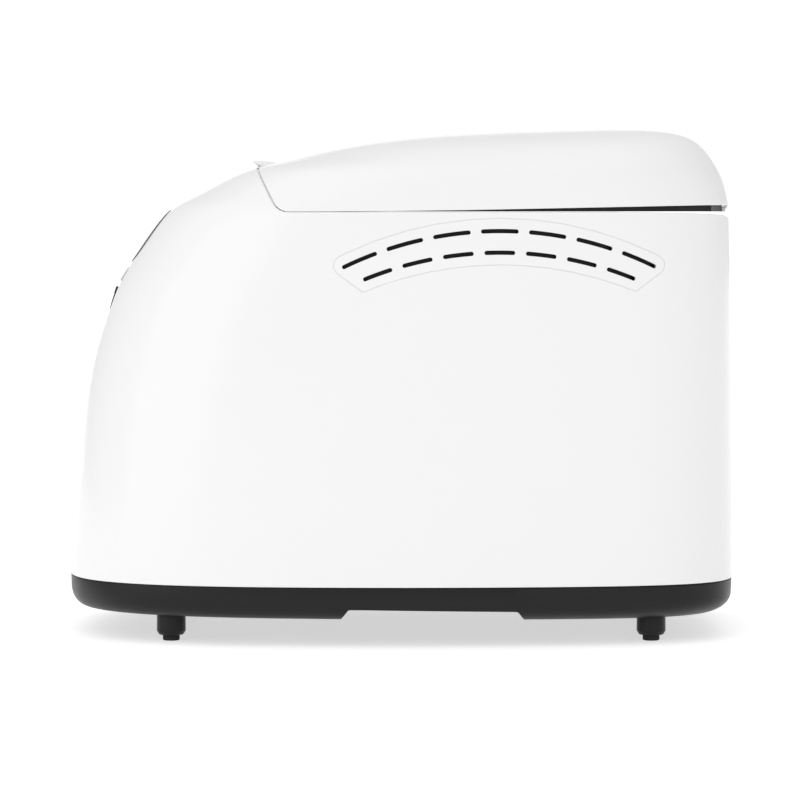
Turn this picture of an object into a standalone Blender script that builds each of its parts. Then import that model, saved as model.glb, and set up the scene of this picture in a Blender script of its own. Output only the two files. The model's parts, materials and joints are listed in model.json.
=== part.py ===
"""Countertop bread machine: plastic shell, hinged lid, oven chamber, bread pan and belt drive.

Frame: metres, +Z up, front of the machine towards -Y, origin on the table under the middle.
"""
import math

import bmesh
import bpy
import numpy as np
from mathutils import Matrix, Vector
from mathutils.bvhtree import BVHTree

# ---------------------------------------------------------------- driving dimensions, metres
GAP = 0.0003                 # clearance left between neighbouring pieces
WALL = 0.0025                # moulded wall thickness
SHEET = 0.0010               # pressed sheet metal thickness

SHELL_BOTTOM = 0.0316        # lower edge of the white shell
TRAY_BOTTOM = 0.0138         # underside of the base tray at its middle
TRAY_LEAN = 0.0062           # fall of the underside per metre towards the rear
TRAY_EDGE_SKEW = 0.35        # how much wider the lower edge's rounding is at the rear
RECESS_ROOF = (0.0198, 0.0185)  # front and rear height of a finger recess
FOOT_TIP = 0.0030            # height of a rubber tip
FOOT_X, FOOT_FRONT_Y, FOOT_REAR_Y = 0.078, -0.1215, 0.1335
FOOT_RADIUS, TIP_RADIUS = 0.0077, 0.0045

# The outer form is a stack of closed rings. Each row gives where a ring meets the front profile
# (y, z), where it meets the rear profile (y, z), and its half width, in millimetres.
FORM_STATIONS = (
    (-180.0, 31.6, 180.0, 31.6, 116.0),
    (-178.3, 64.0, 179.8, 64.0, 115.7),
    (-175.7, 90.0, 179.5, 90.0, 115.3),
    (-172.3, 116.0, 179.2, 116.0, 114.9),
    (-165.6, 150.0, 178.7, 150.0, 114.4),
    (-154.0, 185.0, 178.1, 185.0, 113.7),
    (-144.1, 203.0, 177.7, 203.0, 113.2),
    (-128.0, 225.0, 177.0, 227.5, 112.2),
    (-110.5, 236.2, 176.2, 234.5, 111.2),
    (-93.5, 245.2, 174.4, 241.5, 109.4),
    (-79.0, 251.0, 171.2, 249.5, 106.0),
    (-60.5, 255.3, 165.6, 258.6, 99.0),
    (-37.0, 261.0, 157.4, 266.2, 88.0),
    (-8.0, 265.8, 145.0, 270.2, 71.0),
    (28.0, 269.3, 122.0, 272.0, 43.0),
    (75.0, 271.7, 75.0, 271.7, 0.0),
)
PLAN_TAPER = 0.155           # how much the sides pull in towards the front and the rear
PLAN_FRONT = (4.8, 3.2)      # superellipse power and root of the front half
PLAN_REAR = (7.0, 5.0)       # and of the rear half

HALF_WIDTH, HALF_DEPTH = FORM_STATIONS[0][4] * 0.001, FORM_STATIONS[0][2] * 0.001
BEYOND = 0.014               # how far a helper solid stands out past the form
INNER_COLUMNS = 18           # ring points on each half of a hidden inner face

# Lid seam, as (y, z) corners seen from the side: down the sloping front joint, then back.
SEAM_TOP, SEAM_HEEL = (-0.0840, 0.2642), (-0.0640, 0.2274)
DECK_Z = 0.2273              # top face of the deck that the lid closes on
DECK_THICKNESS = 0.0028
DECK_EDGE = ((0.148, 0.2273), (0.166, 0.2264), (0.200, 0.2262))
SEAM_GAP, SEAM_BEND = 0.0004, 0.004
LID_EDGE = ((0.035, 0.2278), (0.085, 0.2291), (0.125, 0.2303), (0.164, 0.2311), (0.200, 0.2312))

HINGE_Y, HINGE_Z = 0.1725, 0.2310
HINGE_X = 0.046              # middle of each hinge
BARREL_RADIUS, PIN_RADIUS = 0.0028, 0.0012
BARREL_LENGTH, EAR_THICKNESS = 0.012, 0.003
NOTCH_WIDTH, NOTCH_HEIGHT = BARREL_LENGTH + 2 * EAR_THICKNESS + 0.0036, 0.0072

# Lid liner and the frame under its edge.
LINER_LOW, LINER_HIGH, LINER_SHEET = 0.2320, 0.2430, 0.0012
LINER_FLANGE, LINER_BAY, BAY_RADIUS = (0.24, 0.30), (0.176, 0.148), 0.032
FRAME_LOW, FRAME_FRONT_Y = 0.2275, -0.0560
FRAME_OPENING, FRAME_OPENING_Y, FRAME_OPENING_RADIUS = (0.202, 0.184), 0.044, 0.036

# Side vents: a curved band with two rows of slots, seven in each, all on one arc radius.
VENT_RADIUS = 0.186
VENT_Y, VENT_TILT = 0.0520, 0.0016
BAND_TOP, BAND_BOTTOM = 0.2238, 0.1999      # height of the band's edges at its middle
BAND_TIP_ANGLE, BAND_FOOT_ANGLE = 29.2, 22.5
BAND_TIP_RADIUS, BAND_FOOT_RADIUS = 0.0050, 0.0025
VENT_ROWS = ((0.2173, 7.71, 0.0196), (0.2061, 6.66, 0.0160))  # height, angle step, slot length
SLOT_WIDTH = 0.0022
SLOTS_PER_ROW = 7

# Oven chamber, bread pan and drive, all on one vertical axis.
OVEN_Y = 0.055
CHAMBER_SIZE, CHAMBER_RADIUS = (0.184, 0.156), 0.034
CHAMBER_FLOOR = 0.0585
PAN_SIZE, PAN_RADIUS = (0.150, 0.124), 0.030
PAN_BOTTOM, PAN_TOP = 0.0720, 0.2050
PAN_WALL = 0.0014
BAIL_Z, BAIL_RADIUS, BAIL_REACH = PAN_TOP + 0.0035, 0.0016, 0.0600
SHAFT_RADIUS, MOTOR_SHAFT_RADIUS = 0.0040, 0.0030
HEATER_Z, HEATER_RADIUS, TERMINAL_X = 0.0830, 0.0032, 0.020
HEATER_HALF = (0.0835, 0.0700)               # half width and half depth of the heater's loop
PROBE_Z, FUSE_PLACE = 0.130, (0.040, 0.150)  # sensor height; fuse x and z
MOTOR_Y = -0.092
CHASSIS_Z, CHASSIS_THICKNESS = 0.0400, 0.0012
PULLEY_Z, PULLEY_HEIGHT, PULLEY_FLANGE = 0.0215, 0.0090, 0.003
SHAFT_FOOT = 0.0195          # lower end of the main shaft and of the motor shaft
LARGE_PULLEY_RADIUS, MOTOR_PULLEY_RADIUS = 0.0420, 0.0090
BELT_THICKNESS, BELT_WIDTH = 0.0018, 0.0050

# Control panel on the front slope, with its normal in the YZ plane.
PANEL_CENTRE = Vector((0.0, -0.1406, 0.2076))
PANEL_NORMAL = Vector((0.0, -0.833, 0.553)).normalized()
PANEL_HALF_WIDTH, PANEL_LOW, PANEL_HIGH = 0.044, -0.0090, 0.0262  # edges up the slope
PANEL_RADIUS, PANEL_PROUD = 0.0165, 0.0005
KEY_COUNT, KEY_PITCH, KEY_ROW = 5, 0.0165, -0.0162
KEY_RADIUS, KEY_PROUD, KEY_DEPTH = 0.0042, 0.0002, 0.0080
KEY_NAMES = ("menu_button", "crust_button", "loaf_size_button", "timer_plus_button",
             "timer_minus_button")
WINDOW_SIZE, WINDOW_ROW, WINDOW_RADIUS = (0.056, 0.018), 0.0098, 0.003
START_Z = 0.1787
START_NORMAL = Vector((0.0, -0.952, 0.306)).normalized()
START_RADIUS, START_PROUD = 0.0062, 0.0013
TRIM_INNER, TRIM_OUTER, TRIM_PROUD = 0.0066, 0.0078, 0.0009
RIDGE_HALF_WIDTH, RIDGE_LOW, RIDGE_ROOT, RIDGE_PROUD = 0.0026, 0.0034, -0.0002, 0.0017
START_LIFT = 0.0002          # how far the button's zero height stands off the form
PRESS_TRAVEL = 0.0015

INLET_X, INLET_Y, INLET_Z = -0.040, 0.1780, 0.062
INLET_SIZE, INLET_DEPTH, SOCKET_SIZE = (0.032, 0.025), 0.022, (0.0245, 0.0165)
POWER_BOARD = (-0.086, -0.078, 0.108)        # middle of the power board
SCREW_X, SCREW_FRONT_Y, SCREW_REAR_Y = 0.060, -0.060, 0.110
SIDES = ((-1, "left"), (1, "right"))


# ---------------------------------------------------------------- materials
def material(name, colour, roughness, metallic=0.0):
    """A Principled material, made once for each name."""
    if name in bpy.data.materials:
        return bpy.data.materials[name]
    result = bpy.data.materials.new(name)
    result.use_nodes = True
    shader = result.node_tree.nodes["Principled BSDF"]
    shader.inputs["Base Color"].default_value = (*colour, 1.0)
    shader.inputs["Roughness"].default_value = roughness
    shader.inputs["Metallic"].default_value = metallic
    return result


FINISHES = {
    "white_plastic": ((0.90, 0.90, 0.89), 0.18, 0.0),
    "vent_plastic": ((0.88, 0.88, 0.87), 0.25, 0.0),
    "charcoal_plastic": ((0.035, 0.036, 0.038), 0.42, 0.0),
    "panel_gloss": ((0.010, 0.011, 0.012), 0.06, 0.0),
    "display_glass": ((0.16, 0.19, 0.17), 0.10, 0.0),
    "key_plastic": ((0.62, 0.63, 0.64), 0.35, 0.0),
    "start_button": ((0.05, 0.05, 0.055), 0.20, 0.0),
    "button_trim": ((0.03, 0.03, 0.032), 0.25, 0.0),
    "foot_rubber": ((0.020, 0.020, 0.021), 0.75, 0.0),
    "steel_sheet": ((0.62, 0.63, 0.64), 0.32, 1.0),
    "oven_lining": ((0.55, 0.56, 0.56), 0.38, 0.9),
    "pan_coating": ((0.055, 0.055, 0.058), 0.45, 0.2),
    "steel_wire": ((0.72, 0.73, 0.74), 0.22, 1.0),
    "heater_sheath": ((0.28, 0.27, 0.26), 0.45, 0.8),
    "motor_steel": ((0.40, 0.41, 0.42), 0.45, 0.9),
    "pulley_plastic": ((0.78, 0.76, 0.70), 0.45, 0.0),
    "belt_rubber": ((0.025, 0.025, 0.025), 0.70, 0.0),
    "board_green": ((0.045, 0.22, 0.10), 0.40, 0.0),
    "component_black": ((0.03, 0.03, 0.032), 0.40, 0.0),
    "seal_rubber": ((0.25, 0.08, 0.05), 0.60, 0.0),
}


# ---------------------------------------------------------------- mesh helpers
def finish_object(name, bm, slot, smooth_angle=35.0):
    """Turn a bmesh into a linked object with outward faces and its own material."""
    bmesh.ops.recalc_face_normals(bm, faces=bm.faces)
    mesh = bpy.data.meshes.new(name)
    bm.to_mesh(mesh)
    bm.free()
    mesh.shade_smooth()
    mesh.set_sharp_from_angle(angle=math.radians(smooth_angle))
    result = bpy.data.objects.new(name, mesh)
    bpy.context.scene.collection.objects.link(result)
    if slot:
        mesh.materials.append(material(slot, *FINISHES[slot]))
    return result


def loft(name, rings, slot, closed_loop=False):
    """Skin a list of rings with equal point counts; the ends are capped unless the rings loop."""
    bm = bmesh.new()
    rows = [[bm.verts.new(point) for point in ring] for ring in rings]
    pairs = list(zip(rows, rows[1:]))
    if closed_loop:
        pairs.append((rows[-1], rows[0]))
    for low, high in pairs:
        for i in range(len(low)):
            j = (i + 1) % len(low)
            bm.faces.new((low[i], low[j], high[j], high[i]))
    if not closed_loop:
        bm.faces.new(rows[0][::-1])
        bm.faces.new(rows[-1])
    return finish_object(name, bm, slot)


def corner_arc(before, corner, after, radius, steps):
    """Arc that rounds one corner; a corner that is nearly straight stays a point."""
    here = Vector(corner)
    to_last, to_next = (Vector(before) - here).normalized(), (Vector(after) - here).normalized()
    half = to_last.angle(to_next) / 2
    if radius <= 0 or half > math.radians(88):
        return [tuple(here)]
    centre = here + (to_last + to_next).normalized() * (radius / math.sin(half))
    start = here + to_last * (radius / math.tan(half)) - centre
    end = here + to_next * (radius / math.tan(half)) - centre
    total = math.pi - 2 * half
    shares = [(math.sin(total * (steps - k) / steps), math.sin(total * k / steps))
              for k in range(steps + 1)]
    return [tuple(centre + (start * a + end * b) / math.sin(total)) for a, b in shares]


def filleted(corners, radii, steps=3):
    """Round the corners of a closed polygon; one radius for all of them, or one for each."""
    count = len(corners)
    if not isinstance(radii, (list, tuple)):
        radii = [radii] * count
    points = []
    for i, radius in enumerate(radii):
        points += corner_arc(corners[i - 1], corners[i], corners[(i + 1) % count], radius, steps)
    return points


def bent_path(corners, radii, steps=4):
    """Open path with its inner corners rounded."""
    points = [corners[0]]
    for i in range(1, len(corners) - 1):
        points += corner_arc(corners[i - 1], corners[i], corners[i + 1], radii[i - 1], steps)
    return points + [corners[-1]]


def wire(name, path, height, radius, slot):
    """Round wire along a level (x, y) path."""
    curve = bpy.data.curves.new(name, "CURVE")
    curve.dimensions = "3D"
    curve.bevel_depth = radius
    curve.bevel_resolution = 2
    curve.use_fill_caps = True
    spline = curve.splines.new("POLY")
    spline.points.add(len(path) - 1)
    for target, (x, y) in zip(spline.points, path):
        target.co = (x, y, height, 1)
    result = bpy.data.objects.new(name, curve)
    bpy.context.scene.collection.objects.link(result)
    curve.materials.append(material(slot, *FINISHES[slot]))
    return result


def rounded_rectangle(width, depth, radius, steps=3):
    """Corner-rounded rectangle about the origin, as (x, y) points."""
    w, d = width / 2, depth / 2
    return filleted([(-w, -d), (w, -d), (w, d), (-w, d)], radius, steps)


def circle(radius, segments):
    """Points of a circle about the origin."""
    turns = [2 * math.pi * i / segments for i in range(segments)]
    return [(radius * math.cos(a), radius * math.sin(a)) for a in turns]


def at_oven(outline):
    """Move an outline from the origin to the oven's axis."""
    return [(x, y + OVEN_Y) for x, y in outline]


def ring_at(outline, z):
    """Lift an (x, y) outline to a height."""
    return [(x, y, z) for x, y in outline]


def prism(name, outline, low, high, slot=None):
    """Extrude an (x, y) outline from z=low to z=high."""
    return loft(name, [ring_at(outline, z) for z in (low, high)], slot)


def side_prism(name, outline, low_x, high_x, slot=None):
    """Extrude a (y, z) outline along X."""
    return loft(name, [[(x, y, z) for y, z in outline] for x in (low_x, high_x)], slot)


def turned(name, profile, slot, segments=24):
    """Turn a profile of (radius, z) points about Z; a profile that starts at radius 0 is solid."""
    solid = profile[0][0] == 0
    points = [p for p in profile if p[0] > 0]
    rings = [ring_at(circle(r, segments), z) for r, z in points]
    return loft(name, rings, slot, closed_loop=not solid)


def hole_cutter(name, radius, low, high, segments=12):
    """Round helper solid for a hole along Z."""
    return turned(name, [(0, low), (radius, low), (radius, high)], None, segments)


def box(name, size, slot, bevel=0.0):
    """Box about the origin, with an optional small edge bevel."""
    w, d, h = (s / 2 for s in size)
    result = prism(name, [(-w, -d), (w, -d), (w, d), (-w, d)], -h, h, slot)
    if bevel:
        add_bevel(result, bevel)
    return result


def add_bevel(target, width, segments=1, angle=40.0):
    modifier = target.modifiers.new("edge_bevel", "BEVEL")
    modifier.width = width
    modifier.segments = segments
    modifier.limit_method = "ANGLE"
    modifier.angle_limit = math.radians(angle)


def place(target, location, direction=None):
    """Put an object at a location, with its +Z turned to a direction if one is given."""
    target.location = location
    if direction is not None:
        target.rotation_mode = "QUATERNION"
        target.rotation_quaternion = upright_frame(direction).to_quaternion()
    return target


def upright_frame(direction):
    """Rotation whose Z is the direction and whose X stays as close to world X as it can."""
    z_axis = Vector(direction).normalized()
    helper = Vector((1, 0, 0)) if abs(z_axis.x) < 0.9 else Vector((0, 1, 0))
    x_axis = (helper - z_axis * helper.dot(z_axis)).normalized()
    y_axis = z_axis.cross(x_axis)
    return Matrix((x_axis, y_axis, z_axis)).transposed()


def as_cutter(target):
    """Mark a helper solid, so that it is only used by Booleans."""
    target.hide_render = True
    target.display_type = "WIRE"
    return target


def combine(target, other, operation="DIFFERENCE"):
    """Cut, join or intersect the target with a helper solid."""
    as_cutter(other)
    modifier = target.modifiers.new(operation.lower() + "_" + other.name, "BOOLEAN")
    modifier.operation = operation
    modifier.object = other
    modifier.solver = "EXACT"
    return target


def axis_empty(name, location):
    """Empty on a joint axis, which carries the pieces that move about it."""
    result = bpy.data.objects.new(name, None)
    result.empty_display_size = 0.02
    result.location = location
    bpy.context.scene.collection.objects.link(result)
    return result


def carry(parent, *children):
    """Parent pieces modelled in place to an empty on their joint axis."""
    for child in children:
        child.parent = parent
        child.matrix_parent_inverse = Matrix.Translation(-parent.location)


# ---------------------------------------------------------------- the outer form
def natural_spline(knots, values, samples):
    """Natural cubic spline through values at knots, evaluated at samples."""
    knots, values = np.asarray(knots, float), np.asarray(values, float)
    n = len(knots)
    h = np.diff(knots)
    system = np.eye(n)
    right = np.zeros((n, values.shape[1]))
    for i in range(1, n - 1):
        system[i, i - 1:i + 2] = (h[i - 1], 2 * (h[i - 1] + h[i]), h[i])
        right[i] = 6 * ((values[i + 1] - values[i]) / h[i] - (values[i] - values[i - 1]) / h[i - 1])
    bend = np.linalg.solve(system, right)
    result = []
    for s in samples:
        i = int(np.clip(np.searchsorted(knots, s) - 1, 0, n - 2))
        a, b = (knots[i + 1] - s), (s - knots[i])
        result.append((bend[i] * a ** 3 + bend[i + 1] * b ** 3) / (6 * h[i])
                      + (values[i] / h[i] - bend[i] * h[i] / 6) * a
                      + (values[i + 1] / h[i] - bend[i + 1] * h[i] / 6) * b)
    return np.array(result)


def plan_half_outline(count):
    """Evenly spaced points (half width share, depth share) from the front middle to the rear."""
    angle = np.linspace(0, math.pi, 4001)
    u = -np.cos(angle)
    front = np.clip(1 - np.abs(u) ** PLAN_FRONT[0], 0, 1) ** (1 / PLAN_FRONT[1])
    rear = np.clip(1 - np.abs(u) ** PLAN_REAR[0], 0, 1) ** (1 / PLAN_REAR[1])
    share = (1 - PLAN_TAPER * u * u) * np.where(u < 0, front, rear)
    length = np.concatenate(([0], np.cumsum(np.hypot(np.diff(share) * HALF_WIDTH,
                                                       np.diff(u) * HALF_DEPTH))))
    even = np.linspace(0, length[-1], count + 1)
    return np.interp(even, length, share), np.interp(even, length, u)


def form_rings(ring_positions, half_count):
    """Rings of the outer form at the given station positions."""
    share, u = plan_half_outline(half_count)
    across = np.concatenate((share, -share[-2:0:-1]))
    along = np.concatenate((u, u[-2:0:-1]))
    table = np.array(FORM_STATIONS) * 0.001
    rings = []
    rows = natural_spline(range(len(table)), table, ring_positions)
    for front_y, front_z, rear_y, rear_z, half in rows:
        middle_y, middle_z = (front_y + rear_y) / 2, (front_z + rear_z) / 2
        reach_y, reach_z = (rear_y - front_y) / 2, (rear_z - front_z) / 2
        rings.append([(half * a, middle_y + reach_y * b, middle_z + reach_z * b)
                      for a, b in zip(across, along)])
    return rings


def form_solid(name, inset=0.0, drop=0.0, half_count=24):
    """The whole outer form, shrunk by an inset and let down below its lower edge by a drop."""
    last = len(FORM_STATIONS) - 1
    positions = list(np.arange(0, 6, 1.0)) + list(np.arange(6, last, 0.75))
    rings = form_rings(positions, half_count)
    bm = bmesh.new()
    rows = [[bm.verts.new(p) for p in ring] for ring in rings]
    count = len(rows[0])
    for low, high in zip(rows, rows[1:]):
        for i in range(count):
            j = (i + 1) % count
            bm.faces.new((low[i], low[j], high[j], high[i]))
    top = FORM_STATIONS[-1]
    pole = bm.verts.new((0, top[0] * 0.001, top[1] * 0.001))
    for i in range(count):
        bm.faces.new((rows[-1][i], rows[-1][(i + 1) % count], pole))
    bmesh.ops.recalc_face_normals(bm, faces=bm.faces)
    bm.normal_update()
    if pole.normal.z < 0:
        bmesh.ops.reverse_faces(bm, faces=bm.faces)
        bm.normal_update()
    moves = [(v, v.normal.copy()) for v in bm.verts]
    for vert, normal in moves:
        vert.co -= normal * inset
    for vert in rows[0]:
        vert.co.z = SHELL_BOTTOM
    if drop:
        skirt = [bm.verts.new(v.co - Vector((0, 0, drop))) for v in rows[0]]
        for i in range(count):
            j = (i + 1) % count
            bm.faces.new((skirt[i], skirt[j], rows[0][j], rows[0][i]))
        rows[0] = skirt
    bm.faces.new(rows[0][::-1])
    return finish_object(name, bm, None, 60.0)


def seam_directions():
    """Directions in the (y, z) plane: down the sloping joint, and square to it into the lid."""
    slope = (Vector(SEAM_HEEL) - Vector(SEAM_TOP)).normalized()
    return slope, Vector((-slope.y, slope.x))


def lid_region(name, gap, wall=0.0):
    """Space behind the front seam and above the lid's edge; a wall moves the front face back."""
    slope, back = seam_directions()
    top, heel = (Vector(end) + back * (gap + wall) for end in (SEAM_TOP, SEAM_HEEL))
    top -= slope * 0.03
    rear = HALF_DEPTH + BEYOND
    if wall:
        below = DECK_Z - 0.012
        outline = [tuple(top), tuple(heel), (heel.x, below), (rear, below), (rear, top.y)]
        return side_prism(name, outline, -HALF_WIDTH - BEYOND, HALF_WIDTH + BEYOND)
    edge = LID_EDGE if gap > 0 else DECK_EDGE
    corner = heel + slope * ((heel.y - DECK_Z - gap) / -slope.y)
    nudge = SEAM_BEND * 0.3
    rounded = [corner - slope * SEAM_BEND, corner + Vector((nudge, nudge)),
               corner + Vector((SEAM_BEND, 0))]
    outline = [tuple(p) for p in [top] + rounded] + list(edge) + [(edge[-1][0], top.y)]
    return side_prism(name, outline, -HALF_WIDTH - BEYOND, HALF_WIDTH + BEYOND)


def front_hit(tree, origin, direction):
    """Where a ray from outside meets the form's surface."""
    point, _, _, _ = tree.ray_cast(Vector(origin), Vector(direction))
    return point


# ---------------------------------------------------------------- base and feet
def tray_ring(inset, z, lean=0.0, half_count=24):
    """Ring of the plan outline, inset from the shell's lower edge and falling to the rear."""
    share, u = plan_half_outline(half_count)
    across, along = np.concatenate((share, -share[-2:0:-1])), np.concatenate((u, u[-2:0:-1]))
    inset = inset * (1 + TRAY_EDGE_SKEW * along)
    across, along = across * (HALF_WIDTH - inset), along * (HALF_DEPTH - inset)
    return [(x, y, z - lean * y) for x, y in zip(across, along)]


def tray_floor(y):
    """Height of the tray's underside."""
    return TRAY_BOTTOM - TRAY_LEAN * y


def foot_places():
    """Names and places of the four feet."""
    for end, y in (("front", FOOT_FRONT_Y), ("rear", FOOT_REAR_Y)):
        for side, label in SIDES:
            yield end + "_" + label, side * FOOT_X, y


def base_tray():
    """Dark tray with a rounded lower edge, foot posts, finger recesses and a hollow inside."""
    top = SHELL_BOTTOM - GAP
    edge_in, edge_up, steps = 0.0115, 0.0105, 4
    angles = [math.pi / 2 * k / steps for k in range(steps + 1)]
    rings = [tray_ring(0.0006 + edge_in * (1 - math.sin(a)),
                       TRAY_BOTTOM + edge_up * (1 - math.cos(a)), TRAY_LEAN) for a in angles]
    rings += [tray_ring(0.0004, top)]
    hollow = [tray_ring(0.0004 + WALL, top), tray_ring(0.0006 + WALL, top - 0.006),
              tray_ring(0.012, TRAY_BOTTOM + WALL, TRAY_LEAN)]
    tray = loft("base_tray", rings + hollow, "charcoal_plastic")
    for side in (-1, 1):
        roof = box(f"recess_roof_{side}", (0.052, 0.106, 0.008), None)
        place(roof, (side * 0.081, 0.016, TRAY_BOTTOM + 0.0057))
        combine(tray, roof, "UNION")
        low = TRAY_BOTTOM - 0.004
        corners = [(-0.0315, low), (0.0665, low), (0.0665, tray_floor(0.0665)),
                   (0.0617, RECESS_ROOF[1]), (-0.0267, RECESS_ROOF[0]),
                   (-0.0315, tray_floor(-0.0315))]
        ends = sorted((side * 0.061, side * (HALF_WIDTH + BEYOND)))
        combine(tray, side_prism(f"finger_recess_{side}", corners, *ends))
    for name, x, y in foot_places():
        foot = turned("foot_post_" + name, [
            (0, FOOT_TIP + GAP), (FOOT_RADIUS - 0.0016, FOOT_TIP + GAP),
            (FOOT_RADIUS + 0.0001, FOOT_TIP + 0.0022), (FOOT_RADIUS, TRAY_BOTTOM + 0.0020)], None, 20)
        combine(tray, place(foot, (x, y, 0)), "UNION")
        combine(tray, place(hole_cutter("tip_socket_" + name, 0.0026, 0, 0.0085), (x, y, 0)))
    for name, x, y in screw_places():
        well = turned("screw_well_" + name, [
            (0, 0.010), (0.0042, 0.010), (0.0042, tray_floor(y) + 0.0012),
            (0.0019, tray_floor(y) + 0.0012), (0.0019, 0.022)], None, 12)
        combine(tray, place(well, (x, y, 0)))
    return tray


def screw_places():
    """Names and places of the four screws under the base."""
    for end, y in (("front", SCREW_FRONT_Y), ("rear", SCREW_REAR_Y)):
        for side, label in SIDES:
            yield end + "_" + label, side * SCREW_X, y


def feet_and_screws():
    for name, x, y in foot_places():
        tip = turned("rubber_foot_" + name, [
            (0, 0.0), (TIP_RADIUS - 0.0008, 0.0), (TIP_RADIUS, 0.0008), (TIP_RADIUS, FOOT_TIP),
            (0.0023, FOOT_TIP), (0.0023, 0.0080)], "foot_rubber", 16)
        place(tip, (x, y, 0))
    for name, x, y in screw_places():
        head = tray_floor(y) - 0.0009
        screw = turned("base_screw_" + name, [
            (0, head), (0.0026, head), (0.0036, head + 0.0008), (0.0036, head + 0.0018),
            (0.0015, head + 0.0018), (0.0015, 0.030)], "steel_wire", 12)
        place(screw, (x, y, 0))


# ---------------------------------------------------------------- shell, vents and lid
def vent_band(margin):
    """Outline of the vent band seen from the side, grown by a margin."""
    def arc(apex, degrees, clear, shift):
        """Points of an edge: its two end corners and an even stretch between them."""
        angles = [degrees] + [clear - clear * k / 5 for k in range(11)] + [-degrees]
        radius = VENT_RADIUS + shift
        return [(VENT_Y + radius * math.sin(math.radians(a)), apex - VENT_RADIUS + radius
                 * (math.cos(math.radians(a)) + VENT_TILT * math.sin(math.radians(a)))) for a in angles]

    spread = math.degrees(margin / VENT_RADIUS)
    top = arc(BAND_TOP, BAND_TIP_ANGLE + 2.2 * spread, BAND_TIP_ANGLE - 3.5, margin)
    low = arc(BAND_BOTTOM, BAND_FOOT_ANGLE + 0.6 * spread, BAND_FOOT_ANGLE - 3.0, -margin)[::-1]
    radii = [0] * (len(top) + len(low))
    radii[0] = radii[len(top) - 1] = BAND_TIP_RADIUS + margin
    radii[len(top)] = radii[-1] = BAND_FOOT_RADIUS + margin
    return filleted(top + low, radii)


def vent_slots(side):
    """Cutters for the two rows of slots on one side, each bent along the arc of its row."""
    for row, (apex, step, length) in enumerate(VENT_ROWS):
        for k in range(SLOTS_PER_ROW):
            angle = math.radians(step * (k - (SLOTS_PER_ROW - 1) / 2))
            y = VENT_Y + VENT_RADIUS * math.sin(angle)
            z = apex - VENT_RADIUS * (1 - math.cos(angle) - VENT_TILT * math.sin(angle))
            outline = [(y + a * math.cos(angle) + b * math.sin(angle),
                        z - a * math.sin(angle) + b * math.cos(angle)) for a, b in bent_bar(length)]
            ends = sorted((side * 0.090, side * (HALF_WIDTH + BEYOND)))
            yield side_prism(f"slot_{row}_{k}_{side}", outline, *ends)


def bent_bar(length):
    """Outline of a slot: a bar with chamfered ends, bent to the row's radius."""
    half, thick, corner = length / 2, SLOT_WIDTH / 2, SLOT_WIDTH * 0.3
    above = [(-half, thick - corner), (-half + corner, thick), (0, thick), (half - corner, thick),
             (half, thick - corner)]
    bar = [(a, -b) for a, b in above] + above[::-1]
    return [(a, b - a * a / (2 * VENT_RADIUS)) for a, b in bar]


def skin_patch(patch, outer, inner):
    """Keep only the part of a prism between two skins of the form."""
    combine(patch, outer, "INTERSECT")
    return combine(patch, inner)


def vent_panels(outer, inner):
    """Curved, slotted insert in the vent opening on each side."""
    for side, label in ((-1, "left"), (1, "right")):
        ends = sorted((side * 0.095, side * (HALF_WIDTH + BEYOND)))
        panel = side_prism("vent_panel_" + label, vent_band(0.0), *ends, "vent_plastic")
        skin_patch(panel, outer, inner)
        for slot in vent_slots(side):
            combine(panel, slot)


def outer_housing(tree, panel_pocket, start_place):
    """White shell with the front hump, the deck under the lid and the oven mouth."""
    housing = form_solid("outer_housing")
    housing.data.materials.append(material("white_plastic", *FINISHES["white_plastic"]))
    void = form_solid("housing_void", WALL, 0.01, INNER_COLUMNS)
    slope, back = seam_directions()
    front = Vector(SEAM_HEEL) - back * WALL
    deck_under, rear = DECK_Z - DECK_THICKNESS, HALF_DEPTH + BEYOND
    lower = front + slope * ((front.y - deck_under) / -slope.y)
    upper = front - slope * 0.06
    outline = [tuple(lower), (rear, deck_under), (rear, upper.y), tuple(upper)]
    combine(void, side_prism("deck_block", outline, -HALF_WIDTH - BEYOND, HALF_WIDTH + BEYOND))
    combine(housing, void)
    combine(housing, lid_region("lid_pocket", 0.0))
    mouth = rounded_rectangle(CHAMBER_SIZE[0] - 0.004, CHAMBER_SIZE[1] - 0.004, CHAMBER_RADIUS)
    combine(housing, prism("oven_mouth", at_oven(mouth), DECK_Z - 0.012, DECK_Z + 0.012))
    for side in (-1, 1):
        ends = sorted((side * 0.090, side * (HALF_WIDTH + BEYOND)))
        combine(housing, side_prism(f"vent_opening_{side}", vent_band(GAP), *ends))
    combine(housing, panel_pocket)
    for k, point in enumerate(key_points(tree)):
        hole = hole_cutter(f"key_hole_{k}", KEY_RADIUS + GAP, -0.012, 0.004, 16)
        combine(housing, place(hole, point, PANEL_NORMAL))
    hole = hole_cutter("start_hole", TRIM_OUTER + GAP, -0.012, 0.008, 28)
    combine(housing, place(hole, start_place, START_NORMAL))
    inlet = box("inlet_opening", (INLET_SIZE[0] + 2 * GAP, 0.04, INLET_SIZE[1] + 2 * GAP), None)
    combine(housing, place(inlet, (INLET_X, HALF_DEPTH, INLET_Z)))
    return housing


def cut_hinge_notches(target, name, reach, middle):
    """Clear the space round both hinges out of a lid piece."""
    for side, label in SIDES:
        notch = box(f"{name}_{label}", (NOTCH_WIDTH, reach, NOTCH_HEIGHT), None)
        combine(target, place(notch, (side * HINGE_X, HINGE_Y + middle[0], HINGE_Z + middle[1])))


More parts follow.
